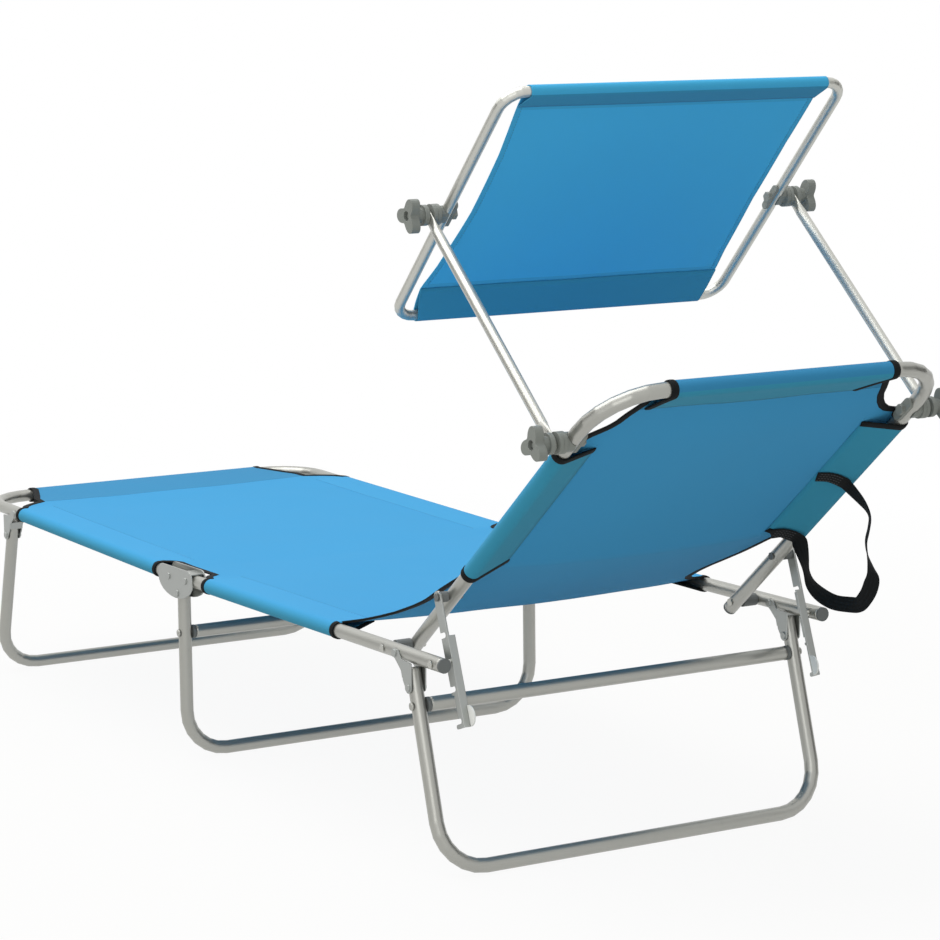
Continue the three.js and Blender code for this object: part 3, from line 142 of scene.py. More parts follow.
# The photograph's camera: its place from the foot's hinge in millimetres, its turns in radians,
# its lens and sensor in millimetres and how far it sees in metres
CAMERA_PLACE = Vector((3949.5, -2115.2, 817.2))
CAMERA_YAW, CAMERA_PITCH, CAMERA_ROLL = 1.027, 0.1531, -0.0087
CAMERA_LENS, CAMERA_SENSOR = 121.13, 36
CAMERA_FARTHEST = 60
CAMERA_SHIFT = (-0.0473, -0.0042)

# Trim: how thick half the binding and half the strap are, how far the binding stands past the
# cloth's edge, how high stitches lie on the cloth and on the strap, and how far the ends of the
# back's sleeves slant at their seams
BINDING_HALF_THICKNESS = 1.4
STRAP_HALF_THICKNESS = 0.8
BINDING_PAST_EDGE = 1
STITCH_LIFT = 0.55
STRAP_STITCH_LIFT = 0.9
BACK_SLEEVE_SLANT = (12, -8)

# How square a tape's section is across its width and its thickness: 1 is an ellipse
TAPE_SQUARENESS = (0.6, 0.8)

# A stitch's outline as (share of its length, share of its radius), how far its thin ends sink
# into the cloth, and how flat it lies
STITCH_OUTLINE = ((0.0, 0.35), (0.2, 1.0), (0.8, 1.0), (1.0, 0.35))
STITCH_SINK = 0.4
STITCH_FLATNESS = 0.8

# Colours of the studio, and the white that the floor shows near the lounger
WHITE = (1, 1, 1, 1)
SKY_COLOUR = (0.97, 0.98, 0.95, 1)
FLOOR_COLOUR = (0.65, 0.64, 0.6, 1)
CARD_COLOUR = (0.05, 0.05, 0.05, 1)
FLOOR_NEAR_WHITE = 0.93

# Sizes and places of the studio, in metres: the floor's half width and the band in which it
# turns fully white, the lamps' places and widths and the point that they face, and the two dark
# cards, with their directions in degrees
FLOOR_HALF = 12
FLOOR_FADE = (0.9, 2.3)
KEY_LIGHT = (Vector((-0.6, -0.9, 3.4)), 3.2)
FILL_LIGHT = (Vector((3.4, -2.6, 1.6)), 2.2)
LAMP_AIM = Vector((0.1, 0, 0.3))
CARD_DIRECTIONS = {"left card": -119, "right card": 61}
CARD_WIDTH = 3.0
CARD_HEIGHT = 2.6
CARD_DISTANCE = 4.0


class Section:
    """A flat part of the lounger with its own axes: along it, across it and up from it."""

    def __init__(self, joint_name, rise):
        joint = next(j for j in frame["joints"] if j["name"] == joint_name)
        x, _, z = joint["pos_m"]
        turn = Matrix.Rotation(-math.radians(rise), 3, "Y")
        self.origin = Vector((x, 0, z))
        self.along = turn @ Vector((1, 0, 0))
        self.up = turn @ Vector((0, 0, 1))

    def at(self, along, across=0.0, up=0.0):
        """A point given in millimetres along, across and up from the section's origin."""
        return self.origin + (self.along * along + ACROSS * across + self.up * up) * MM

    def way(self, along, up):
        """The direction of so much along and so much up."""
        return (self.along * along + self.up * up).normalized()


FOOT = Section("foot_fold", -FOOT_RISE)
SEAT = Section("foot_fold", SEAT_RISE)
BACK = Section("recline", BACK_RISE)
CANOPY = Section("canopy_tilt", CANOPY_RISE)


# Shader building


class Number:
    """A number socket that can be used in arithmetic."""

    def __init__(self, finish, socket):
        self.finish = finish
        self.socket = socket

    def _math(self, operation, *terms):
        return self.finish.number("ShaderNodeMath", *terms, operation=operation)

    def __add__(self, other):
        return self._math("ADD", self, other)

    __radd__ = __add__

    def __sub__(self, other):
        return self._math("SUBTRACT", self, other)

    def __rsub__(self, other):
        return self._math("SUBTRACT", other, self)

    def __mul__(self, other):
        return self._math("MULTIPLY", self, other)

    __rmul__ = __mul__

    def __abs__(self):
        return self._math("ABSOLUTE", self)

    def sine(self):
        """The sine of this number, in radians."""
        return self._math("SINE", self)


class Finish:
    """A material or a world built from nodes."""

    def __init__(self, name, library="materials"):
        self.holder = getattr(bpy.data, library).new(name)
        self.holder.use_nodes = True
        self.tree = self.holder.node_tree
        self.tree.nodes.clear()

    def node(self, kind, *values, **named):
        """Adds a node and feeds its sockets by order and by name. A name in small letters is a
        setting's, and is set first."""
        made = self.tree.nodes.new(kind)
        sockets = {key: value for key, value in named.items() if key[0].isupper()}
        for key, value in named.items():
            if key not in sockets:
                setattr(made, key, value)
        for index, value in enumerate(values):
            self._feed(made.inputs[index], value)
        for key, value in sockets.items():
            self._feed(made.inputs[key.replace("_", " ")], value)
        return made

    def number(self, kind, *values, **named):
        """Adds a node and gives its first output as a number."""
        return Number(self, self.node(kind, *values, **named).outputs[0])

    def _feed(self, socket, value):
        if isinstance(value, Number):
            value = value.socket
        if isinstance(value, bpy.types.NodeSocket):
            self.tree.links.new(value, socket)
        else:
            socket.default_value = value

    def lay(self):
        """The piece's own UV map in metres, and its numbers along and across the piece."""
        lay = self.node("ShaderNodeUVMap", uv_map="lay").outputs["UV"]
        split = self.node("ShaderNodeSeparateXYZ", lay).outputs
        return lay, Number(self, split[0]), Number(self, split[1])

    def place(self):
        """The place on the piece, in its own directions."""
        return self.node("ShaderNodeTexCoord").outputs["Object"]

    def noise(self, place, scale, detail, roughness=0.5):
        """Smooth noise laid out by a place."""
        return self.number("ShaderNodeTexNoise", place, Scale=scale, Detail=detail,
                           Roughness=roughness)

    def band(self, value, low, high, start=0.0, end=1.0):
        """Maps a number from one band of values to another, and holds it there."""
        return self.number("ShaderNodeMapRange", value, low, high, start, end)

    def mix(self, factor, first, second):
        """Mixes two colours."""
        made = self.node("ShaderNodeMix", data_type="RGBA")
        for index, value in ((0, factor), (6, first), (7, second)):
            self._feed(made.inputs[index], value)
        return made.outputs[2]

    def rounded(self, radius):
        """The normal with the edges rounded off by a radius in millimetres, and a mask of the
        edges that the rounding reaches, where a finish rubs off first."""
        soft = self.node("ShaderNodeBevel", radius * MM, samples=8).outputs[0]
        flat = self.node("ShaderNodeNewGeometry").outputs["Normal"]
        both = self.node("ShaderNodeVectorMath", soft, flat, operation="DOT_PRODUCT")
        return soft, self.band(1 - Number(self, both.outputs["Value"]), 0.06, 0.24)

    def bump(self, strength, depth, height, **named):
        """A bumped normal, with its depth in millimetres."""
        return self.node("ShaderNodeBump", Strength=strength, Distance=depth * MM, Height=height,
                         **named).outputs[0]

    def principled(self, base, roughness, **named):
        """A principled shader."""
        return self.node("ShaderNodeBsdfPrincipled", Base_Color=base, Roughness=roughness,
                         **named).outputs[0]

    def finish(self, shader, output="ShaderNodeOutputMaterial"):
        """Links the shader to the output and gives the material or the world."""
        self.node(output, shader)
        return self.holder


def linear(colour, level=1.0):
    """A colour at a level of its brightness, with full alpha."""
    return (*[min(1.0, channel * level) for channel in colour[:3]], 1.0)


def woven(name, colour, through, under=None):
    """Plain-woven cloth that lets a share of the light through. It fades to the under colour, a
    darker colour of painted shade, where the piece's own map says that it is turned under."""
    f = Finish(name)
    lay, along, across = f.lay()
    turns = math.pi / (bpy.context.scene.lounger_cloth.weave * MM)
    weave = (along * turns).sine() * (across * turns).sine() * 0.5 + 0.5
    cloudy = f.noise(lay, 7.0, 3.0, 0.6)
    slubs = f.noise(lay, 420.0, 2.0)
    streaks = f.node("ShaderNodeMapping", lay, Scale=(18.0, 700.0, 1.0)).outputs[0]
    drawn = f.noise(streaks, 1.0, 1.0)
    shade = f.mix(cloudy, linear(colour, 0.96), linear(colour, 1.04))
    threads = f.mix(weave * 0.5 + slubs * 0.25 + drawn * 0.2, linear(colour, 0.86),
                    linear(colour, 1.08))
    base = f.mix(0.4, shade, threads)
    if under:
        # Painted shade: the share of the darker under colour mixed in round the sleeves' under sides
        share = f.node("ShaderNodeAttribute", attribute_name="under").outputs["Fac"]
        base = f.mix(share, base, linear(getattr(bpy.context.scene.lounger_colours, under)))
    bump = f.bump(0.35, 0.12, weave + slubs * 0.8)
    cloth = f.principled(base, cloudy * 0.1 + slubs * 0.06 + 0.74, Normal=bump,
                         Specular_IOR_Level=0.14, Sheen_Weight=0.04, Sheen_Roughness=0.5)
    glow = f.node("ShaderNodeBsdfTranslucent", linear(colour), bump).outputs[0]
    return f.finish(f.node("ShaderNodeMixShader", through, cloth, glow).outputs[0])


def ribbed(name, colour, pitch, depth):
    """Black tape or webbing with ribs across its length."""
    f = Finish(name)
    lay, along, across = f.lay()
    turns = math.pi / (pitch * MM)
    ribs = abs((along * turns).sine()) * abs((across * turns * 0.7).sine())
    fluff = f.noise(lay, 300.0, 3.0)
    base = f.mix(ribs * 0.7 + fluff * 0.25, linear(colour, 0.35), linear(colour, 1.1))
    return f.finish(f.principled(base, fluff * 0.16 + 0.74, Specular_IOR_Level=0.18,
                                 Normal=f.bump(0.6, depth, ribs + fluff * 0.4)))


def thread(name, colour):
    """Twisted sewing thread."""
    f = Finish(name)
    twist = f.noise(f.place(), 1500.0, 1.0)
    base = f.mix(twist, linear(colour, 0.75), linear(colour, 1.2))
    return f.finish(f.principled(base, twist * 0.2 + 0.55))


def satin_metal(name, colour, roughness, rounding, metallic=0.85):
    """Anodised or plated metal: cloudy, lightly scuffed and rubbed bright along its edges."""
    f = Finish(name)
    place = f.place()
    rounded, rubbed = f.rounded(rounding)
    cloudy = f.noise(place, 11.0, 4.0, 0.6)
    fine = f.noise(place, 520.0, 3.0)
    worn = f.band(f.noise(place, 120.0, 6.0, 0.75), 0.6, 0.74)
    base = f.mix(cloudy, linear(colour, 0.93), linear(colour, 1.07))
    base = f.mix(worn * 0.35, base, linear(colour, 0.78))
    base = f.mix(rubbed * 0.5, base, linear(colour, 1.5))
    level = cloudy * 0.1 + fine * 0.03 + worn * 0.12 + (roughness - 0.07)
    return f.finish(f.principled(base, level, Metallic=metallic,
                                 Normal=f.bump(0.015, 0.04, fine, Normal=rounded)))


def moulded(name, colour, roughness, grain=0.25):
    """Moulded plastic with a fine spark-eroded grain, paler where its edges are rubbed."""
    f = Finish(name)
    place = f.place()
    rounded, rubbed = f.rounded(1.0)
    speck = f.noise(place, 1400.0, 2.0)
    cloudy = f.noise(place, 35.0, 4.0)
    base = f.mix(cloudy, linear(colour, 0.9), linear(colour, 1.08))
    base = f.mix(speck * 0.3, base, linear(colour, 1.25))
    base = f.mix(rubbed * 0.45, base, linear(colour, 1.5))
    level = cloudy * 0.12 + speck * 0.08 - rubbed * 0.08 + (roughness - 0.08)
    return f.finish(f.principled(base, level, Normal=f.bump(grain, 0.06, speck, Normal=rounded)))


# Cloth building


def spread(runs):
    """The places along runs of (from, to, longest step), evenly spaced in each."""
    places = []
    for low, high, step in runs:
        count = math.ceil((high - low) / step)
        places += [low + (high - low) * i / count for i in range(count + 1)]
    return places


def along_table(table, x):
    """Reads a table of (place, value) pairs at a place, straight between its lines."""
    if x <= table[0][0]:
        return table[0][1]
    for (x0, v0), (x1, v1) in zip(table, table[1:]):
        if x <= x1:
            return v0 + (v1 - v0) * (x - x0) / (x1 - x0)
    return table[-1][1]


def smooth_step(low, high, x):
    """Rises from 0 at low to 1 at high."""
    share = min(1.0, max(0.0, (x - low) / (high - low)))
    return share * share * (3 - 2 * share)


def apart(a, b):
    """The distance between two points, which are both vectors or both plain pairs."""
    return (b - a).length if isinstance(a, Vector) else math.dist(a, b)


def travelled(points, start=0.0):
    """How far along a path of points each of them lies, counted from a start."""
    found = [start]
    for a, b in zip(points, points[1:]):
        found.append(found[-1] + apart(a, b))
    return found


def turned(radius, reach, height, steps, flap_steps):
    """Cloth turned round a tube: pairs of (inward, up) from the top of the tube, round its
    outside, to the seam at the reach and height."""
    away = math.atan2(height, reach)
    tangent = 2 * math.pi + away - math.acos(radius / math.hypot(reach, height))
    angles = [math.pi / 2 + (tangent - math.pi / 2) * i / steps for i in range(1, steps + 1)]
    points = [(radius * math.cos(a), radius * math.sin(a)) for a in angles]
    last = points[-1]
    for i in range(1, flap_steps + 1):
        share = i / flap_steps
        points.append((last[0] + (reach - last[0]) * share, last[1] + (height - last[1]) * share))
    return points


def turned_under(section, bar, inside, radius, reach, height, steps):
    """Cloth turned round a section's end bar, from the bar's top: its place along and up, the way
    out of it, and how many steps it is past the last step on the bar."""
    found = []
    for n, (inward, up) in enumerate(turned(radius, reach, height, *steps)):
        past = n - (steps[0] - 1)
        outward = section.way(0, -1) if past >= 0 else section.way(inward * inside, up)
        found.append((bar + inward * inside, up, outward, past))
    return found


class Row(NamedTuple):
    """One line across a cloth: a point on the middle plane and the way up there, the height of
    its edges above the point and their reach to the left and right, how far its middle hangs and
    the half width of that hang, its kind, its length along the cloth and place along the frame,
    and the size and way of its creases."""

    point: Vector
    up: Vector
    height: float
    edges: tuple
    dip: float
    half_width: float
    kind: int
    length: float
    place: float
    slack: float
    lift: Vector

    def across(self, share):
        """The distance across at a share of the way from the middle to an edge."""
        return share * self.edges[1 if share > 0 else 0]

    def at(self, y):
        """The cloth's middle surface at a distance across, in metres."""
        drop = self.dip * (1 - (y / self.half_width) ** 2)
        return self.point + (self.up * (self.height - drop) + ACROSS * y
                             + self.lift * self.crease(y)) * MM

    def crease(self, y):
        """The height of the small waves of slack cloth, in millimetres."""
        waves = sum(height * noise.noise(Vector((self.place * along + start, y * across, depth)))
                    for along, across, (start, depth), height in CREASES)
        middle = max(0.0, 1 - (y / self.half_width) ** 2)
        return waves * middle ** 0.5 * self.slack


def facing(section, x, up, outward, height, *rest):
    """A row whose edge is at a place along and up from a section, and that faces outward."""
    return Row(section.at(x, 0, up) - outward * height * MM, outward, height, *rest, section.up)


def tile(i, j):
    """The corners of one face of a cloth's grid."""
    return (i, j), (i, j + 1), (i + 1, j + 1), (i + 1, j)


class Cloth:
    """A sheet made of rows, with sleeves along its sides where it has them. A place on a sleeve
    is numbered by its row and by its side and step."""

    def __init__(self, rows, half_width, seam_inset):
        inner = 1 - seam_inset / half_width
        middle = [-inner + 2 * inner * i / INNER_STEPS for i in range(INNER_STEPS + 1)]
        outer = [inner + (1 - inner) * i / OUTER_STEPS for i in range(1, OUTER_STEPS + 1)]
        self.rows = rows
        self.points = {}
        self.lay = {}
        self.under = {}
        for i, row in enumerate(rows):
            for j, share in enumerate([-v for v in reversed(outer)] + middle + outer):
                y = row.across(share)
                self.points[i, j] = row.at(y)
                self.lay[i, j] = (row.length * MM, y * MM)
        self.faces = {tile(i, j): max(rows[i].kind, rows[i + 1].kind)
                      for i in range(len(rows) - 1) for j in range(EDGE[1])}

    def sleeve(self, side, first, last, section, half_width, dip, slant=(0.0, 0.0)):
        """Turns the cloth's side edge round the side tube between two rows. Slant moves the
        flap's two ends along the tube at its seam."""
        turn, flap = SLEEVE_STEPS
        seam_height = CLOTH_HEIGHT - dip * (1 - (1 - SEAM_INSET / half_width) ** 2) - SEAM_GAP
        profile = turned(CLOTH_HEIGHT, SEAM_INSET, seam_height, turn, flap)
        girths = travelled([(0.0, CLOTH_HEIGHT), *profile], half_width)
        start, end = self.rows[first].length, self.rows[last].length
        for i in range(first, last + 1):
            row = self.rows[i]
            share = (row.length - start) / (end - start)
            for k, (inward, up) in enumerate(profile, 1):
                shift = max(0.0, (k - turn) / flap) * (slant[0] * (1 - share) + slant[1] * share)
                self.points[i, (side, k)] = row.point + (
                    section.along * shift + row.up * up + ACROSS * side * (half_width - inward)) * MM
                self.lay[i, (side, k)] = ((row.length + shift) * MM, side * girths[k] * MM)
                # Painted shade: the darker under colour's share grows round the tube towards its under side
                self.under[i, (side, k)] = smooth_step(0, UNDER_SHADE_FADE_STEPS, k)
        for i in range(first, last):
            for k in range(turn + flap):
                near, far = (side, k) if k else EDGE[side], (side, k + 1)
                ring = ((i, near), (i, far), (i + 1, far), (i + 1, near))
                self.faces[ring[::side]] = DOUBLED
            for j in range(SEAMS[1], EDGE[1]) if side > 0 else range(SEAMS[0]):
                self.faces[tile(i, j)] = DOUBLED

    def build(self, name, cloth_name, kinds):
        """Makes the mesh object, with its thickness and a finish for each kind of place."""
        keys = list(self.points)
        number = {key: n for n, key in enumerate(keys)}
        made = solid(name, list(self.points.values()),
                     [[number[c] for c in face] for face in self.faces],
                     [FinishShop.get(f"{cloth_name} cloth {kind}") for kind in range(1, kinds + 1)],
                     [self.lay[key] for key in keys])
        # Each point's share of the painted shade on the sleeves' under sides
        under = made.data.attributes.new("under", "FLOAT", "POINT")
        for n, key in enumerate(keys):
            under.data[n].value = self.under.get(key, 0.0)
        for polygon, kind in zip(made.data.polygons, self.faces.values()):
            polygon.material_index = kind - 1
        thick = made.modifiers.new("thickness", "SOLIDIFY")
        thick.thickness = bpy.context.scene.lounger_cloth.thickness * MM
        thick.offset = 0
        thick.use_even_offset = True
        graph = bpy.context.evaluated_depsgraph_get()
        shown = bpy.data.meshes.new_from_object(made.evaluated_get(graph))
        made.modifiers.clear()
        made.data = shown
        return made

    def frame_at(self, i, j):
        """A point of the grid with the cloth's normal there, from its neighbours."""
        here = self.points[i, j]
        if isinstance(j, tuple):
            side, k = j
            beside, sign = ((side, k - 1) if k > 1 else EDGE[side]), -side
        else:
            sign = 1 if j == 0 else -1
            beside = j + sign
        ahead = (self.points[i + 1, j] - here if (i + 1, j) in self.points
                 else here - self.points[i - 1, j])
        return here, ahead.cross((self.points[i, beside] - here) * sign).normalized()

    def along_seams(self, first, last):
        """The paths along both side seams between two rows."""
        return [[self.frame_at(i, j) for i in range(first, last + 1)] for j in SEAMS]

    def hem_near(self, length):
        """The path across the row nearest a length along the cloth."""
        return [self.frame_at(row_at(self.rows, length), j) for j in range(EDGE[1] + 1)]

    @staticmethod
    def side_edge(i_range, side):
        """The places along a free side edge, each with its neighbour on the cloth."""
        return [((i, EDGE[side]), (i, EDGE[side] - side)) for i in i_range]

    @staticmethod
    def sleeve_end(i, towards, side):
        """The places round a sleeve's end from its seam, each with its neighbour on the cloth."""
        ring = [(side, k) for k in range(sum(SLEEVE_STEPS), 0, -1)] + [EDGE[side]]
        return [((i, j), (i + towards, j)) for j in ring]

    def bind(self, name, edges):
        """Tape folded over free edges, each given as places with their neighbours."""
        half_width = bpy.context.scene.lounger_cloth.binding
        paths = []
        for places in edges:
            ways = [(self.points[b] - self.points[a]).normalized() for a, b in places]
            path = []
            for n, (place, _) in enumerate(places):
                way = sum(ways[max(0, n - 2):n + 3], Vector())
                point, normal = self.frame_at(*place)
                path.append((point + way.normalized() * (half_width - BINDING_PAST_EDGE) * MM,
                             normal))
            paths.append(path)
        return tape(name, paths, half_width, BINDING_HALF_THICKNESS, FinishShop.get("binding"))

    def cut(self):
        """The width, length and area of the cloth as cut, in metres."""
        long, wide = zip(*self.lay.values())
        area = 0.0
        for face in self.faces:
            ring = [self.lay[key] for key in face]
            area += abs(sum(a[0] * b[1] - b[0] * a[1]
                            for a, b in zip(ring, ring[1:] + ring[:1]))) / 2
        return (max(wide) - min(wide), max(long) - min(long)), area


def solid(name, vertices, faces, materials, lay=None):
    """A smooth mesh object, with a UV map where a place is given for each vertex."""
    mesh = bpy.data.meshes.new(name)
    mesh.from_pydata(vertices, [], faces)
    if lay:
        uv = mesh.uv_layers.new(name="lay")
        for loop in mesh.loops:
            uv.data[loop.index].uv = lay[loop.vertex_index]
    for material in materials:
        mesh.materials.append(material)
    for polygon in mesh.polygons:
        polygon.use_smooth = True
    made = bpy.data.objects.new(name, mesh)
    bpy.context.collection.objects.link(made)
    return made


def skin(start, rings, sides):
    """The faces round a run of rings of vertices, and over its two ends."""
    faces = []
    for first in range(start, start + (rings - 1) * sides, sides):
        for k in range(sides):
            a, b = first + k, first + (k + 1) % sides
            faces.append((a, a + sides, b + sides, b))
    last = start + (rings - 1) * sides
    return faces + [[start + k for k in range(sides)],
                    [last + k for k in reversed(range(sides))]]


def tape(name, paths, half_width, half_thickness, material, sides=10):
    """A bound edge or band: a flattened, rounded section along each path of (point, normal)."""
    vertices, faces, lay = [], [], []
    for path in paths:
        start = len(vertices)
        lengths = travelled([point for point, _ in path])
        for n, (point, normal) in enumerate(path):
            ahead = path[min(n + 1, len(path) - 1)][0] - path[max(n - 1, 0)][0]
            ahead.normalize()
            up = (normal - ahead * normal.dot(ahead)).normalized()
            out = ahead.cross(up)
            for k in range(sides):
                angle = 2 * math.pi * (k + 0.5) / sides
                wide, thick = (math.copysign(abs(way) ** power, way) for way, power in
                               zip((math.cos(angle), math.sin(angle)), TAPE_SQUARENESS))
                vertices.append(point + (out * half_width * wide + up * half_thickness * thick) * MM)
                lay.append((lengths[n], k / sides * 4 * half_width * MM))
        faces += skin(start, len(path), sides)
    return solid(name, vertices, faces, [material], lay)


def even_path(path, step):
    """Points at an even step in millimetres along a path of (point, normal)."""
    lengths = travelled([point for point, _ in path])
    count = max(2, round(lengths[-1] / (step * MM)))
    found, n = [], 0
    for i in range(count + 1):
        want = lengths[-1] * i / count
        while n < len(path) - 2 and lengths[n + 1] < want:
            n += 1
        share = (want - lengths[n]) / (lengths[n + 1] - lengths[n] or 1.0)
        found.append((path[n][0].lerp(path[n + 1][0], share),
                      path[n][1].lerp(path[n + 1][1], share).normalized()))
    return found


def stitches(name, paths, lift, material, pitch=4.2, length=3.0, radius=0.42, sides=6):
    """Rows of short thread stitches that lie on the cloth along each path."""
    vertices, faces = [], []
    ring = [(math.cos(a), math.sin(a))
            for a in (2 * math.pi * (k + 0.5) / sides for k in range(sides))]
    for path in paths:
        marks = even_path(path, pitch)
        for (a, up), (b, _) in zip(marks, marks[1:]):
            ahead = (b - a).normalized()
            out = ahead.cross(up)
            start = len(vertices)
            for share, size in STITCH_OUTLINE:
                sunk = lift - (1 - size) * STITCH_SINK
                centre = a + ahead * length * share * MM + up * sunk * MM
                for c, s in ring:
                    spoke = out * c + up * s * STITCH_FLATNESS
                    vertices.append(centre + spoke * radius * size * MM)
            faces += skin(start, len(STITCH_OUTLINE), sides)
    return solid(name, vertices, faces, [material])


def sew(name, seams, thread_name):
    """Stitches on both faces of a cloth along its seams."""
    lower = [[(point, -normal) for point, normal in path] for path in seams]
    return stitches(name, seams + lower, STITCH_LIFT, FinishShop.get(thread_name))


# Tables of (place along, half width) for the free edges, in millimetres. The lap's places are
# shares of its way from the seat to the backrest
FRONT_EDGE = [(-706, 203), (-697, 201), (-640, 222), (-616, 232), (-592, 234), (-577, 256),
              (-561, 274), (-548, 280), (-48, 280), (-44, 268), (-34, 260), (78, 260),
              (84, 268), (90, 276), (104, 280)]
LAP_EDGE = [(0.0, 280), (0.012, 268), (0.035, 256), (0.09, 240), (0.18, 226), (0.31, 218),
            (0.42, 217), (0.53, 221), (0.65, 226), (0.76, 228), (0.86, 229), (0.95, 233),
            (1.0, 240.5)]
BACK_EDGE_LEFT = [(443, 240.5), (449, 239), (451, 230), (453, 221), (463, 212.5), (477, 196),
                  (486, 189), (501, 182), (513, 174.5), (522, 169), (533, 166), (545, 162),
                  (561, 159)]
BACK_EDGE_RIGHT = [(443, 240.5), (449, 240), (452, 236), (454, 228), (458, 217.5), (467, 206),
                   (479, 196), (493, 188), (505, 185), (520, 180), (533, 174), (546, 168),
                   (561, 161)]
CANOPY_EDGE = [(-186, 210), (-165, 215), (-140, 219), (-100, 213), (0, 206), (100, 207),
               (176, 212), (206, 211)]
CANOPY_HALF_WIDTH = 211
CANOPY_CREASE_HALF_WIDTH = 225

# How far the back's hem reaches to each side, at its bar and at its seam
BACK_HEM_EDGES = ((159, 161), (160, 138))


def row_at(rows, length):
    """The number of the row nearest a length along the cloth."""
    return min(range(len(rows)), key=lambda i: abs(rows[i].length - length))


def front_rows():
    """The rows of the cloth on the foot section and the seat, from the hem under the foot bar."""
    def dip_at(x):
        return SEAT_DIP * smooth_step(-FOOT_LENGTH, -FOOT_LENGTH + FOOT_DIP_FADE, x)

    def slack_at(x):
        return smooth_step(0, FOOT_SLACK_FADE, x + FOOT_LENGTH)

    rows = []
    hem = turned_under(FOOT, -FOOT_LENGTH, 1, CLOTH_HEIGHT, FOOT_HEM, CLOTH_HEIGHT - SEAM_GAP,
                       FOOT_HEM_STEPS)[::-1]
    for (x, up, outward, past), length in zip(hem, travelled([step[:2] for step in hem])):
        flap = past >= 0
        edges = (along_table(FRONT_EDGE, x),) * 2
        rows.append(facing(FOOT, x, up, outward, CLOTH_HEIGHT, edges, -dip_at(x) if flap else 0,
                           FRAME_HALF_WIDTH, FLAP if flap else HEM, length, x,
                           slack_at(x) if flap else 0))
    start = rows[-1].length + FOOT_HEM_STEP
    for x in spread(FRONT_RUNS):
        edges = (along_table(FRONT_EDGE, x),) * 2
        section = FOOT if x < 0 else SEAT
        kind = HEM if x < -FOOT_LENGTH + FOOT_HEM else SINGLE
        rows.append(facing(section, x, CLOTH_HEIGHT, section.up, CLOTH_HEIGHT, edges, dip_at(x),
                           FRAME_HALF_WIDTH, kind, start + x + FOOT_LENGTH, x, slack_at(x)))
    return rows, start


def lap_rows():
    """The rows of the cloth over the lap, from the seat's sleeves to the backrest's."""
    turn_up = math.radians(BACK_RISE - SEAT_RISE)
    start = Vector((SEAT_CLOTH_END - BACK_PIVOT, 0))
    end = Vector((math.cos(turn_up), math.sin(turn_up))) * LAP_REACH
    pulled = (start + end) / 2 * (1 - LAP_PULL)
    shares = [n / LAP_STEPS for n in range(LAP_STEPS + 1)]
    places = [start * (1 - t) ** 2 + pulled * 2 * t * (1 - t) + end * t * t for t in shares]
    rows = []
    for t, place, length in zip(shares, places, travelled(places)):
        up = SEAT.up * math.cos(turn_up * t) - SEAT.along * math.sin(turn_up * t)
        half = FRAME_HALF_WIDTH + (BACK_HALF_WIDTH - FRAME_HALF_WIDTH) * t
        rows.append(Row(SEAT.at(BACK_PIVOT + place.x, 0, place.y), up, CLOTH_HEIGHT,
                        (along_table(LAP_EDGE, t),) * 2, SEAT_DIP + (BACK_DIP - SEAT_DIP) * t,
                        half, SINGLE, length, SEAT_CLOTH_END + length, 1, up))
    return rows


def back_rows():
    """The rows of the cloth from the seat's end, over the lap and up the backrest."""
    rows = lap_rows()
    lap_last = len(rows) - 1
    offset = rows[-1].length - LAP_REACH

    def add(x, up, outward, edges, dip, kind, length, slack):
        rows.append(facing(BACK, x, up, outward, CLOTH_HEIGHT, edges, dip, BACK_HALF_WIDTH, kind,
                           length, SEAT_CLOTH_END + offset + x, slack))

    def dip_at(x):
        return BACK_DIP * (1 - smooth_step(BACK_LENGTH - BACK_DIP_FADE, BACK_LENGTH, x))

    def slack_at(x):
        return smooth_step(0, BACK_SLACK_FADE, BACK_LENGTH - x)

    for x in spread(BACK_RUNS)[1:]:
        edges = (along_table(BACK_EDGE_LEFT, x), along_table(BACK_EDGE_RIGHT, x))
        add(x, CLOTH_HEIGHT, BACK.up, edges, dip_at(x),
            HEM if x > BACK_LENGTH - BACK_HEM else SINGLE, offset + x, slack_at(x))
    hem = turned_under(BACK, BACK_LENGTH, -1, CLOTH_HEIGHT, BACK_HEM, CLOTH_HEIGHT - SEAM_GAP,
                       BACK_HEM_STEPS)
    lengths = travelled([(BACK_LENGTH, CLOTH_HEIGHT)] + [step[:2] for step in hem],
                        rows[-1].length)
    for (x, up, outward, past), length in zip(hem, lengths[1:]):
        flap = past >= 0
        down = max(0.0, BACK_LENGTH - x) / BACK_HEM if flap else 0
        edges = tuple(near + (far - near) * down for near, far in BACK_HEM_EDGES)
        add(x, up, outward, edges, -dip_at(x) if flap else 0, FLAP if past > BACK_UNDER else HEM,
            length, slack_at(x) if flap else 0)
    return rows, lap_last


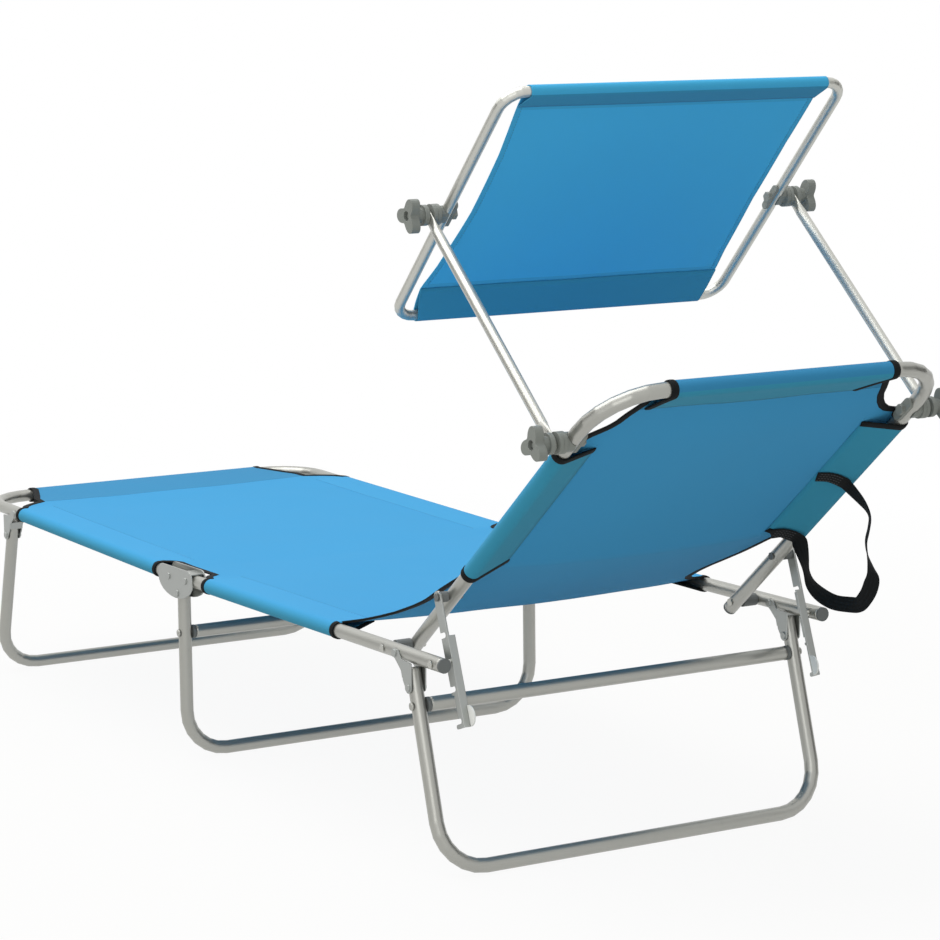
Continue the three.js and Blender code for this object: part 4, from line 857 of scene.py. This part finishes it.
def canopy_rows():
    """The rows of the canopy's cloth, from the hem under its low bar to the one at its top."""
    radius = CANOPY_CLOTH_HEIGHT

    def hang(x):
        share = (x + CANOPY_BOTTOM) / (CANOPY_TOP + CANOPY_BOTTOM)
        return CANOPY_DIP * 4 * share * (1 - share)

    def slack_at(x):
        return (smooth_step(0, CANOPY_SLACK_FADE, x + CANOPY_BOTTOM)
                * smooth_step(0, CANOPY_SLACK_FADE, CANOPY_TOP - x))

    def hem(bar, inside, reach, under_from):
        height = radius - hang(bar + inside * reach) - SEAM_GAP
        return [(x, up, outward, HEM if past > under_from else DOUBLED,
                 slack_at(x) if past >= 0 else 0)
                for x, up, outward, past in turned_under(CANOPY, bar, inside, radius, reach,
                                                         height, SLEEVE_STEPS)]

    low = hem(-CANOPY_BOTTOM, 1, CANOPY_LOW_HEM, CANOPY_LOW_UNDER)[::-1]
    flat = []
    for x in spread(CANOPY_RUNS):
        doubled = x < -CANOPY_BOTTOM + CANOPY_LOW_HEM or x > CANOPY_TOP - CANOPY_TOP_HEM
        flat.append((x, radius - hang(x), CANOPY.up, DOUBLED if doubled else SINGLE, slack_at(x)))
    steps = low + flat + hem(CANOPY_TOP, -1, CANOPY_TOP_HEM, CANOPY_TOP_UNDER)
    rows = [facing(CANOPY, x, up, outward, radius, (along_table(CANOPY_EDGE, x),) * 2, 0,
                   CANOPY_CREASE_HALF_WIDTH, kind, length, x, slack)
            for (x, up, outward, kind, slack), length in zip(
                steps, travelled([Vector(step[:2]) for step in steps]))]
    return rows, len(low), len(low) + len(flat) - 1


# Settings


def size_setting(name, description, default, low, high):
    """A setting in millimetres."""
    return bpy.props.FloatProperty(name=name, description=description + ", in millimetres",
                                   default=default, min=low, max=high)


def colour_setting(name, description, default):
    """A setting for a colour."""
    return bpy.props.FloatVectorProperty(name=name, description="Colour of " + description,
                                         subtype="COLOR", size=3, min=0, max=1, default=default)


def power_setting(name, description, default):
    """A setting for a lamp's power."""
    return bpy.props.FloatProperty(name=name, description="Power of " + description,
                                   subtype="POWER", unit="POWER", default=default, min=0, max=2000)


class LoungerCloth(bpy.types.PropertyGroup):
    """Sizes of the cloth and its trim."""

    thickness: size_setting("Cloth thickness", "Thickness of the woven cloth", 0.8, 0.3, 1.2)
    weave: size_setting("Weave pitch", "Distance from thread to thread", 0.9, 0.3, 3.0)
    binding: size_setting("Binding half width", "Half the width of the bound edge", 5.0, 1.0, 8.0)
    strap_width: size_setting("Strap width", "Width of the webbing strap", 20.0, 10.0, 40.0)


class LoungerColours(bpy.types.PropertyGroup):
    """Colours of the finishes."""

    bed: colour_setting("Bed cloth", "the cloth on the bed", (0.053, 0.352, 0.675))
    # Painted shade: the flaps' colour is a darker, tealer copy of the bed cloth, standing in for the shade on
    # cloth turned under the tubes
    bed_flap: colour_setting("Bed cloth's flaps", "the cloth turned under the bed",
                             (0.038, 0.285, 0.455))
    # Painted light: the canopy's colour is set lighter than the bed's cloth, standing in for the light that shines
    # through the canopy
    canopy: colour_setting("Canopy cloth", "the canopy's cloth", (0.07, 0.5, 0.87))
    binding: colour_setting("Binding and strap", "the bound edges and webbing",
                            (0.009, 0.011, 0.012))
    strap_thread: colour_setting("Strap's thread", "the strap's stitches", (0.06, 0.06, 0.065))
    tube: colour_setting("Tubes", "the tubes' metal", (0.4, 0.4, 0.37))
    plate: colour_setting("Plates", "the pressed plates", (0.38, 0.395, 0.38))
    clamp: colour_setting("Clamps", "the clamps and knobs", (0.2, 0.215, 0.2))
    cap: colour_setting("Caps", "the end plugs and caps", (0.13, 0.14, 0.14))
    tab: colour_setting("Tabs", "the racks' thumb tabs", (0.85, 0.86, 0.84))


class LoungerStudio(bpy.types.PropertyGroup):
    """Levels of the studio's light."""

    sky: bpy.props.FloatProperty(
        name="Sky", description="Strength of the light from all round", default=0.62, min=0, max=3)
    key: power_setting("Key", "the large light above", 95.0)
    fill: power_setting("Fill", "the light beside the camera", 24.0)


class FinishShop:
    """The finishes, each made once when it is first asked for. A recipe has the function that
    makes the finish, its colour, the colour's level and the function's own values."""

    made = {}
    recipes = {
        # Painted shade: each bed and canopy cloth past the first is a darker copy of the same cloth, standing in
        # for the shade on doubled, hemmed and turned-under cloth
        "bed cloth 1": (woven, "bed", 1, 0.1),
        "bed cloth 2": (woven, "bed", 0.97, 0.03, "bed_flap"),
        "bed cloth 3": (woven, "bed", 0.71, 0.02),
        "bed cloth 4": (woven, "bed_flap", 1, 0.02),
        "canopy cloth 1": (woven, "canopy", 1, 0.1),
        "canopy cloth 2": (woven, "canopy", 0.85, 0.04),
        "canopy cloth 3": (woven, "canopy", 0.56, 0.02),
        "binding": (ribbed, "binding", 1, 1.1, 0.25),
        "webbing": (ribbed, "binding", 1, 1.6, 0.35),
        "bed thread": (thread, "bed", 0.75),
        "canopy thread": (thread, "canopy", 0.6),
        "strap thread": (thread, "strap_thread", 1),
        "tube": (satin_metal, "tube", 1, 0.33, 6.0, 0.74),
        # Painted highlight: the canopy's arms are the tubes' metal with its colour raised 1.45 times, standing in
        # for their strong highlight
        "light tube": (satin_metal, "tube", 1.45, 0.42, 2.0, 0.85),
        "pressed": (satin_metal, "plate", 1, 0.36, 0.8),
        "bright": (satin_metal, "tube", 1.15, 0.26, 0.6, 1.0),
        "clamp plastic": (moulded, "clamp", 1, 0.5),
        "cap plastic": (moulded, "cap", 1, 0.55),
        "tab plastic": (moulded, "tab", 1, 0.35, 0.1),
    }

    @classmethod
    def get(cls, name):
        """The material of that name."""
        if name not in cls.made:
            maker, colour, level, *values = cls.recipes[name]
            channels = getattr(bpy.context.scene.lounger_colours, colour)
            cls.made[name] = maker(name, [c * level for c in channels], *values)
        return cls.made[name]


# Operators


class LOUNGER_OT_stage(bpy.types.Operator):
    """Adds the camera, the lights and the floor"""

    bl_idname = "lounger.stage"
    bl_label = "Stage"

    def execute(self, context):
        """Makes the studio."""
        scene = context.scene
        studio = scene.lounger_studio
        self.camera(scene)
        scene.world = self.world(studio)
        self.floor()
        for name, turn in CARD_DIRECTIONS.items():
            self.card(name, math.radians(turn))
        self.lamp("key light", *KEY_LIGHT, studio.key)
        self.lamp("fill light", *FILL_LIGHT, studio.fill)
        scene.view_settings.view_transform = "Standard"
        return {"FINISHED"}

    @staticmethod
    def camera(scene):
        """Places the camera where the photograph was taken from."""
        data = bpy.data.cameras.new("camera")
        data.lens = CAMERA_LENS
        data.sensor_width = CAMERA_SENSOR
        data.shift_x, data.shift_y = CAMERA_SHIFT
        data.clip_end = CAMERA_FARTHEST
        made = bpy.data.objects.new("camera", data)
        made.matrix_world = (Matrix.Translation(FOOT.origin + CAMERA_PLACE * MM)
                             @ Matrix.Rotation(CAMERA_YAW, 4, "Z")
                             @ Matrix.Rotation(math.pi / 2 - CAMERA_PITCH, 4, "X")
                             @ Matrix.Rotation(CAMERA_ROLL, 4, "Z"))
        bpy.context.collection.objects.link(made)
        scene.camera = made

    @staticmethod
    def world(studio):
        """A world that lights the scene evenly and shows white behind it."""
        f = Finish("studio", "worlds")
        ray = f.node("ShaderNodeLightPath").outputs
        seen = ray["Is Camera Ray"]
        for other in ("Is Glossy Ray", "Is Transmission Ray"):
            seen = f.number("ShaderNodeMath", seen, ray[other], operation="MAXIMUM")
        light = f.node("ShaderNodeBackground", SKY_COLOUR, studio.sky)
        shown = f.node("ShaderNodeBackground", WHITE, 1)
        mixed = f.node("ShaderNodeMixShader", seen, light.outputs[0], shown.outputs[0])
        return f.finish(mixed.outputs[0], "ShaderNodeOutputWorld")

    @staticmethod
    def floor():
        """A pale floor that shows white to the camera and keeps a soft shadow."""
        f = Finish("floor")
        ray = f.node("ShaderNodeLightPath").outputs
        place = f.node("ShaderNodeNewGeometry").outputs["Position"]
        away = f.node("ShaderNodeVectorMath", place, operation="LENGTH").outputs["Value"]
        white_share = f.band(Number(f, away), *FLOOR_FADE, FLOOR_NEAR_WHITE, 1.0)
        seen = (Number(f, ray["Is Camera Ray"]) + Number(f, ray["Is Glossy Ray"])) * white_share
        matt = f.node("ShaderNodeBsdfDiffuse", FLOOR_COLOUR)
        white = f.node("ShaderNodeEmission", WHITE, 1.0)
        mixed = f.node("ShaderNodeMixShader", seen, matt.outputs[0], white.outputs[0])
        corners = [(x * FLOOR_HALF, y * FLOOR_HALF, 0)
                   for x, y in ((-1, -1), (1, -1), (1, 1), (-1, 1))]
        solid("floor", corners, [(0, 1, 2, 3)], [f.finish(mixed.outputs[0])])

    @staticmethod
    def card(name, direction):
        """A dark upright card beside the lounger, which only shows mirrored in shiny surfaces."""
        f = Finish(name)
        material = f.finish(f.node("ShaderNodeEmission", CARD_COLOUR, 1.0).outputs[0])
        way = Vector((math.cos(direction), math.sin(direction), 0))
        aside = Vector((-way.y, way.x, 0)) * CARD_WIDTH / 2
        low, high = way * CARD_DISTANCE, way * CARD_DISTANCE + Vector((0, 0, CARD_HEIGHT))
        made = solid(name, [low - aside, low + aside, high + aside, high - aside],
                     [(0, 1, 2, 3)], [material])
        for ray in ("camera", "diffuse", "transmission", "shadow"):
            setattr(made, f"visible_{ray}", False)

    @staticmethod
    def lamp(name, place, size, power):
        """A square area light that faces the lounger."""
        data = bpy.data.lights.new(name, "AREA")
        data.size = size
        data.energy = power
        made = bpy.data.objects.new(name, data)
        made.location = place
        made.rotation_euler = (LAMP_AIM - place).to_track_quat("-Z", "Y").to_euler()
        bpy.context.collection.objects.link(made)


def finish_bed(cloth, names, bound, seams, ends, nodes):
    made = cloth.build(names[0], "bed", FLAP)
    binding = cloth.bind(names[1], bound)
    sewn = sew(names[2], seams, "bed thread")
    flat, area = cloth.cut()
    for piece in (made, binding, sewn):
        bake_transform(piece)
    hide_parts(*nodes)


class LOUNGER_OT_bed_front(bpy.types.Operator):
    """Makes the cloth of the foot section and the seat, with its binding and stitching"""

    bl_idname = "lounger.bed_front"
    bl_label = "Foot and seat cloth"

    def execute(self, context):
        """Builds the front cloth over the tubes."""
        rows, start = front_rows()
        cloth = Cloth(rows, FRAME_HALF_WIDTH, SEAM_INSET)
        foot_first, foot_last, seat_first = [row_at(rows, start + FOOT_LENGTH + x)
                                             for x in (*FOOT_SLEEVE, SEAT_SLEEVE_START)]
        seat_last = len(rows) - 1
        bound = []
        for side in (-1, 1):
            for first, last, section in ((foot_first, foot_last, FOOT),
                                         (seat_first, seat_last, SEAT)):
                cloth.sleeve(side, first, last, section, FRAME_HALF_WIDTH, SEAT_DIP)
            notch = cloth.sleeve_end(foot_first, 1, side)
            notch += cloth.side_edge(range(foot_first - 1, -1, -1), side)
            gap = cloth.sleeve_end(foot_last, -1, side)
            gap += cloth.side_edge(range(foot_last + 1, seat_first), side)
            gap += reversed(cloth.sleeve_end(seat_first, 1, side))
            bound += [notch, gap, cloth.sleeve_end(seat_last, -1, side)]
        seams = cloth.along_seams(foot_first, foot_last) + cloth.along_seams(seat_first, seat_last)
        finish_bed(cloth, ("bed_cloth_front", "bed_binding_front", "bed_stitching_front"), bound,
                   seams + [cloth.hem_near(start + FOOT_HEM)],
                   ("foot_section", "seat", tuple(FOOT.at(HINGE_BEND[0])),
                    tuple(SEAT.at(HINGE_BEND[1]))),
                   ("foot_cloth", "hinge_cloth", "seat_cloth"))
        return {"FINISHED"}


class LOUNGER_OT_bed_back(bpy.types.Operator):
    """Makes the cloth of the lap and the backrest, with its binding and stitching"""

    bl_idname = "lounger.bed_back"
    bl_label = "Backrest cloth"

    def execute(self, context):
        """Builds the back cloth over the tubes."""
        rows, first = back_rows()
        cloth = Cloth(rows, BACK_HALF_WIDTH, SEAM_INSET)
        base = rows[first].length - LAP_REACH
        last = row_at(rows, base + BACK_SLEEVE_END)
        bound = []
        for side in (-1, 1):
            cloth.sleeve(side, first, last, BACK, BACK_HALF_WIDTH, BACK_DIP, BACK_SLEEVE_SLANT)
            low = cloth.sleeve_end(first, 1, side)
            low += cloth.side_edge(range(first - 1, -1, -1), side)
            high = cloth.sleeve_end(last, -1, side)
            high += cloth.side_edge(range(last + 1, len(rows)), side)
            bound += [low, high]
        seams = cloth.along_seams(first, last) + [cloth.hem_near(base + BACK_LENGTH - BACK_HEM)]
        finish_bed(cloth, ("bed_cloth_back", "bed_binding_back", "bed_stitching_back"), bound,
                   seams, ("seat", "backrest", tuple(SEAT.at(SEAT_CLOTH_END)),
                           tuple(BACK.at(LAP_REACH))),
                   ("lap_cloth", "back_cloth"))
        return {"FINISHED"}


class LOUNGER_OT_canopy_cloth(bpy.types.Operator):
    """Makes the canopy's cloth, hemmed round its two bars"""

    bl_idname = "lounger.canopy_cloth"
    bl_label = "Canopy cloth"

    def execute(self, context):
        """Builds the canopy's cloth."""
        rows, first, last = canopy_rows()
        cloth = Cloth(rows, CANOPY_HALF_WIDTH, CANOPY_SEAM_INSET)
        # Outside its seams the canopy's cloth is doubled, and takes at least the darker finish of painted shade
        for face, kind in cloth.faces.items():
            if not SEAMS[0] <= face[0][1] < SEAMS[1]:
                cloth.faces[face] = max(DOUBLED, kind)
        made = cloth.build("canopy_sheet", "canopy", HEM)
        hems = (rows[first].length + CANOPY_LOW_HEM, rows[last].length - CANOPY_TOP_HEM)
        seams = [cloth.hem_near(length) for length in hems]
        seams += cloth.along_seams(*[row_at(rows, length) for length in hems])
        sewn = sew("canopy_stitching", seams, "canopy thread")
        flat, area = cloth.cut()
        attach(made, "canopy")
        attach(sewn, "canopy")
        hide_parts("canopy_cloth")
        return {"FINISHED"}


# The strap's route in the backrest's own directions: along, across and up in millimetres, then how
# far its width is turned from straight across and how far it leans up from level, in degrees
STRAP_ROUTE = [
    (313, 192, 3.4, -90, 39), (317, 208, -1.8, -90, 39), (314, 224, -7.2, -90, 39),
    (311, 233, -13, -92, 37), (316, 236, -30, -102, 26), (323, 236, -50, -112, 14),
    (322, 236, -65, -119, 4), (312, 235, -76, -121, 0), (299, 234, -86, -121, 0),
    (292, 234, -98, -125, 5), (288, 234, -112, -146, 15), (282, 234, -127, -182, 35),
    (267, 234, -137, -206, 52), (248, 234, -141, -211, 64), (236, 234, -140, -211, 80),
    (222, 234, -132, -211, 104), (195, 234, -113, -206, 124), (177, 234, -92, -186, 145),
    (168, 234, -72, -160, 165), (168, 234, -54, -147, 178), (173, 234, -38, -165, 180),
    (178, 234, -21, -200, 176), (182, 232, -12.8, -235, 165), (185, 224, -8.2, -265, 145),
    (186, 209, -3.2, -270, 141), (178, 197, 1.0, -270, 141),
]

# The strap's steps between two points of its route and corners round its section, then its rows
# of stitches: how far each lies from its middle, and how many steps long it is
ROUTE_STEPS = 5
STRAP_SIDES = 14
STRAP_SEAMS = (-7, -2.3, 2.3, 7)
SEWN_STEPS = 10


def smooth_route(points, steps):
    """A smooth curve through the points."""
    found = []
    for n in range(len(points) - 1):
        a, b, c, d = (points[max(n - 1, 0)], points[n], points[n + 1],
                      points[min(n + 2, len(points) - 1)])
        for i in range(steps):
            t = i / steps
            found.append(0.5 * ((2 * b) + (c - a) * t + (2 * a - 5 * b + 4 * c - d) * t * t
                                + (3 * b - a - 3 * c + d) * t ** 3))
    return found + [points[-1]]


class LOUNGER_OT_strap(bpy.types.Operator):
    """Makes the webbing strap that hangs behind the backrest"""

    bl_idname = "lounger.strap"
    bl_label = "Webbing strap"

    def execute(self, context):
        """Builds the strap."""
        width = context.scene.lounger_cloth.strap_width
        marks = smooth_route([Vector(mark) for mark in STRAP_ROUTE], ROUTE_STEPS)
        points = [BACK.at(*mark[:3]) for mark in marks]
        ways, path = [], []
        for n, (point, mark) in enumerate(zip(points, marks)):
            ahead = (points[min(n + 1, len(points) - 1)] - points[max(n - 1, 0)]).normalized()
            turn, lean = math.radians(mark[3]), math.radians(mark[4])
            ways.append(Vector((-math.sin(turn) * math.cos(lean),
                                math.cos(turn) * math.cos(lean), math.sin(lean))))
            path.append((point, ways[-1].cross(ahead)))
        made = tape("webbing_strap", [path], width / 2, STRAP_HALF_THICKNESS,
                    FinishShop.get("webbing"), STRAP_SIDES)
        ends = ((1, -1), (len(path) - 1 - SEWN_STEPS, 1))
        sewn = stitches("strap_stitching",
                        [[(path[n][0] + ways[n] * offset * MM, path[n][1] * side)
                          for n in range(first, first + SEWN_STEPS)]
                         for first, side in ends for offset in STRAP_SEAMS],
                        STRAP_STITCH_LIFT, FinishShop.get("strap thread"))
        for piece in (made, sewn):
            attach(piece, "backrest")
        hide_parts("strap")
        travelled(points)[-1]
        return {"FINISHED"}


class LOUNGER_OT_finishes(bpy.types.Operator):
    """Gives every carried-over node its metal or plastic finish"""

    bl_idname = "lounger.finishes"
    bl_label = "Metal and plastic finishes"

    finish_of_slot = {
        "frame_tube": "tube", "bright_steel": "bright", "clamp_plastic": "clamp plastic",
        "cap_plastic": "cap plastic", "tab_plastic": "tab plastic",
    }
    # Canopy tubes take the tube metal made brighter, a painted highlight
    finish_of_word = (("bracket", "pressed"), ("rack", "pressed"), ("canopy", "light tube"))

    def execute(self, context):
        """Assigns the finishes."""
        slots = {s["node"]: s["material_slot"] for s in frame["record"]["subparts"]}
        for name, node in frame["nodes"].items():
            finish = self.finish_of_slot.get(slots[name])
            if finish is None:
                continue
            if finish == "tube":
                finish = next((f for word, f in self.finish_of_word if word in name), finish)
            for slot in node.material_slots:
                slot.material = FinishShop.get(finish)
        return {"FINISHED"}


class LOUNGER_PT_panel(bpy.types.Panel):
    """Lists the lounger's pieces and settings"""

    bl_idname = "LOUNGER_PT_panel"
    bl_label = "Sun lounger"
    bl_space_type = "VIEW_3D"
    bl_region_type = "UI"
    bl_category = "Lounger"

    def draw(self, context):
        """Draws the settings and the buttons."""
        layout = self.layout
        for group in GROUPS:
            settings = getattr(context.scene, group)
            box = layout.box()
            for key in settings.bl_rna.properties.keys():
                if key not in {"rna_type", "name"}:
                    box.prop(settings, key)
        for operator in OPERATORS:
            layout.operator(operator.bl_idname)


OPERATORS = (LOUNGER_OT_stage, LOUNGER_OT_strap, LOUNGER_OT_bed_front, LOUNGER_OT_bed_back,
             LOUNGER_OT_canopy_cloth, LOUNGER_OT_finishes)
GROUPS = {"lounger_cloth": LoungerCloth, "lounger_colours": LoungerColours,
          "lounger_studio": LoungerStudio}
CLASSES = (*GROUPS.values(), *OPERATORS, LOUNGER_PT_panel)


def register():
    """Registers the classes and the scene's settings."""
    for cls in CLASSES:
        bpy.utils.register_class(cls)
    for name, group in GROUPS.items():
        setattr(bpy.types.Scene, name, bpy.props.PointerProperty(type=group))


def unregister():
    """Removes the classes and the scene's settings."""
    for name in GROUPS:
        delattr(bpy.types.Scene, name)
    for cls in reversed(CLASSES):
        bpy.utils.unregister_class(cls)


def main():
    """Runs every operator in order."""
    register()
    for operator in OPERATORS:
        group, name = operator.bl_idname.split(".")
        getattr(getattr(bpy.ops, group), name)()
    bpy.context.view_layer.update()


if __name__ == "__main__":
    main()
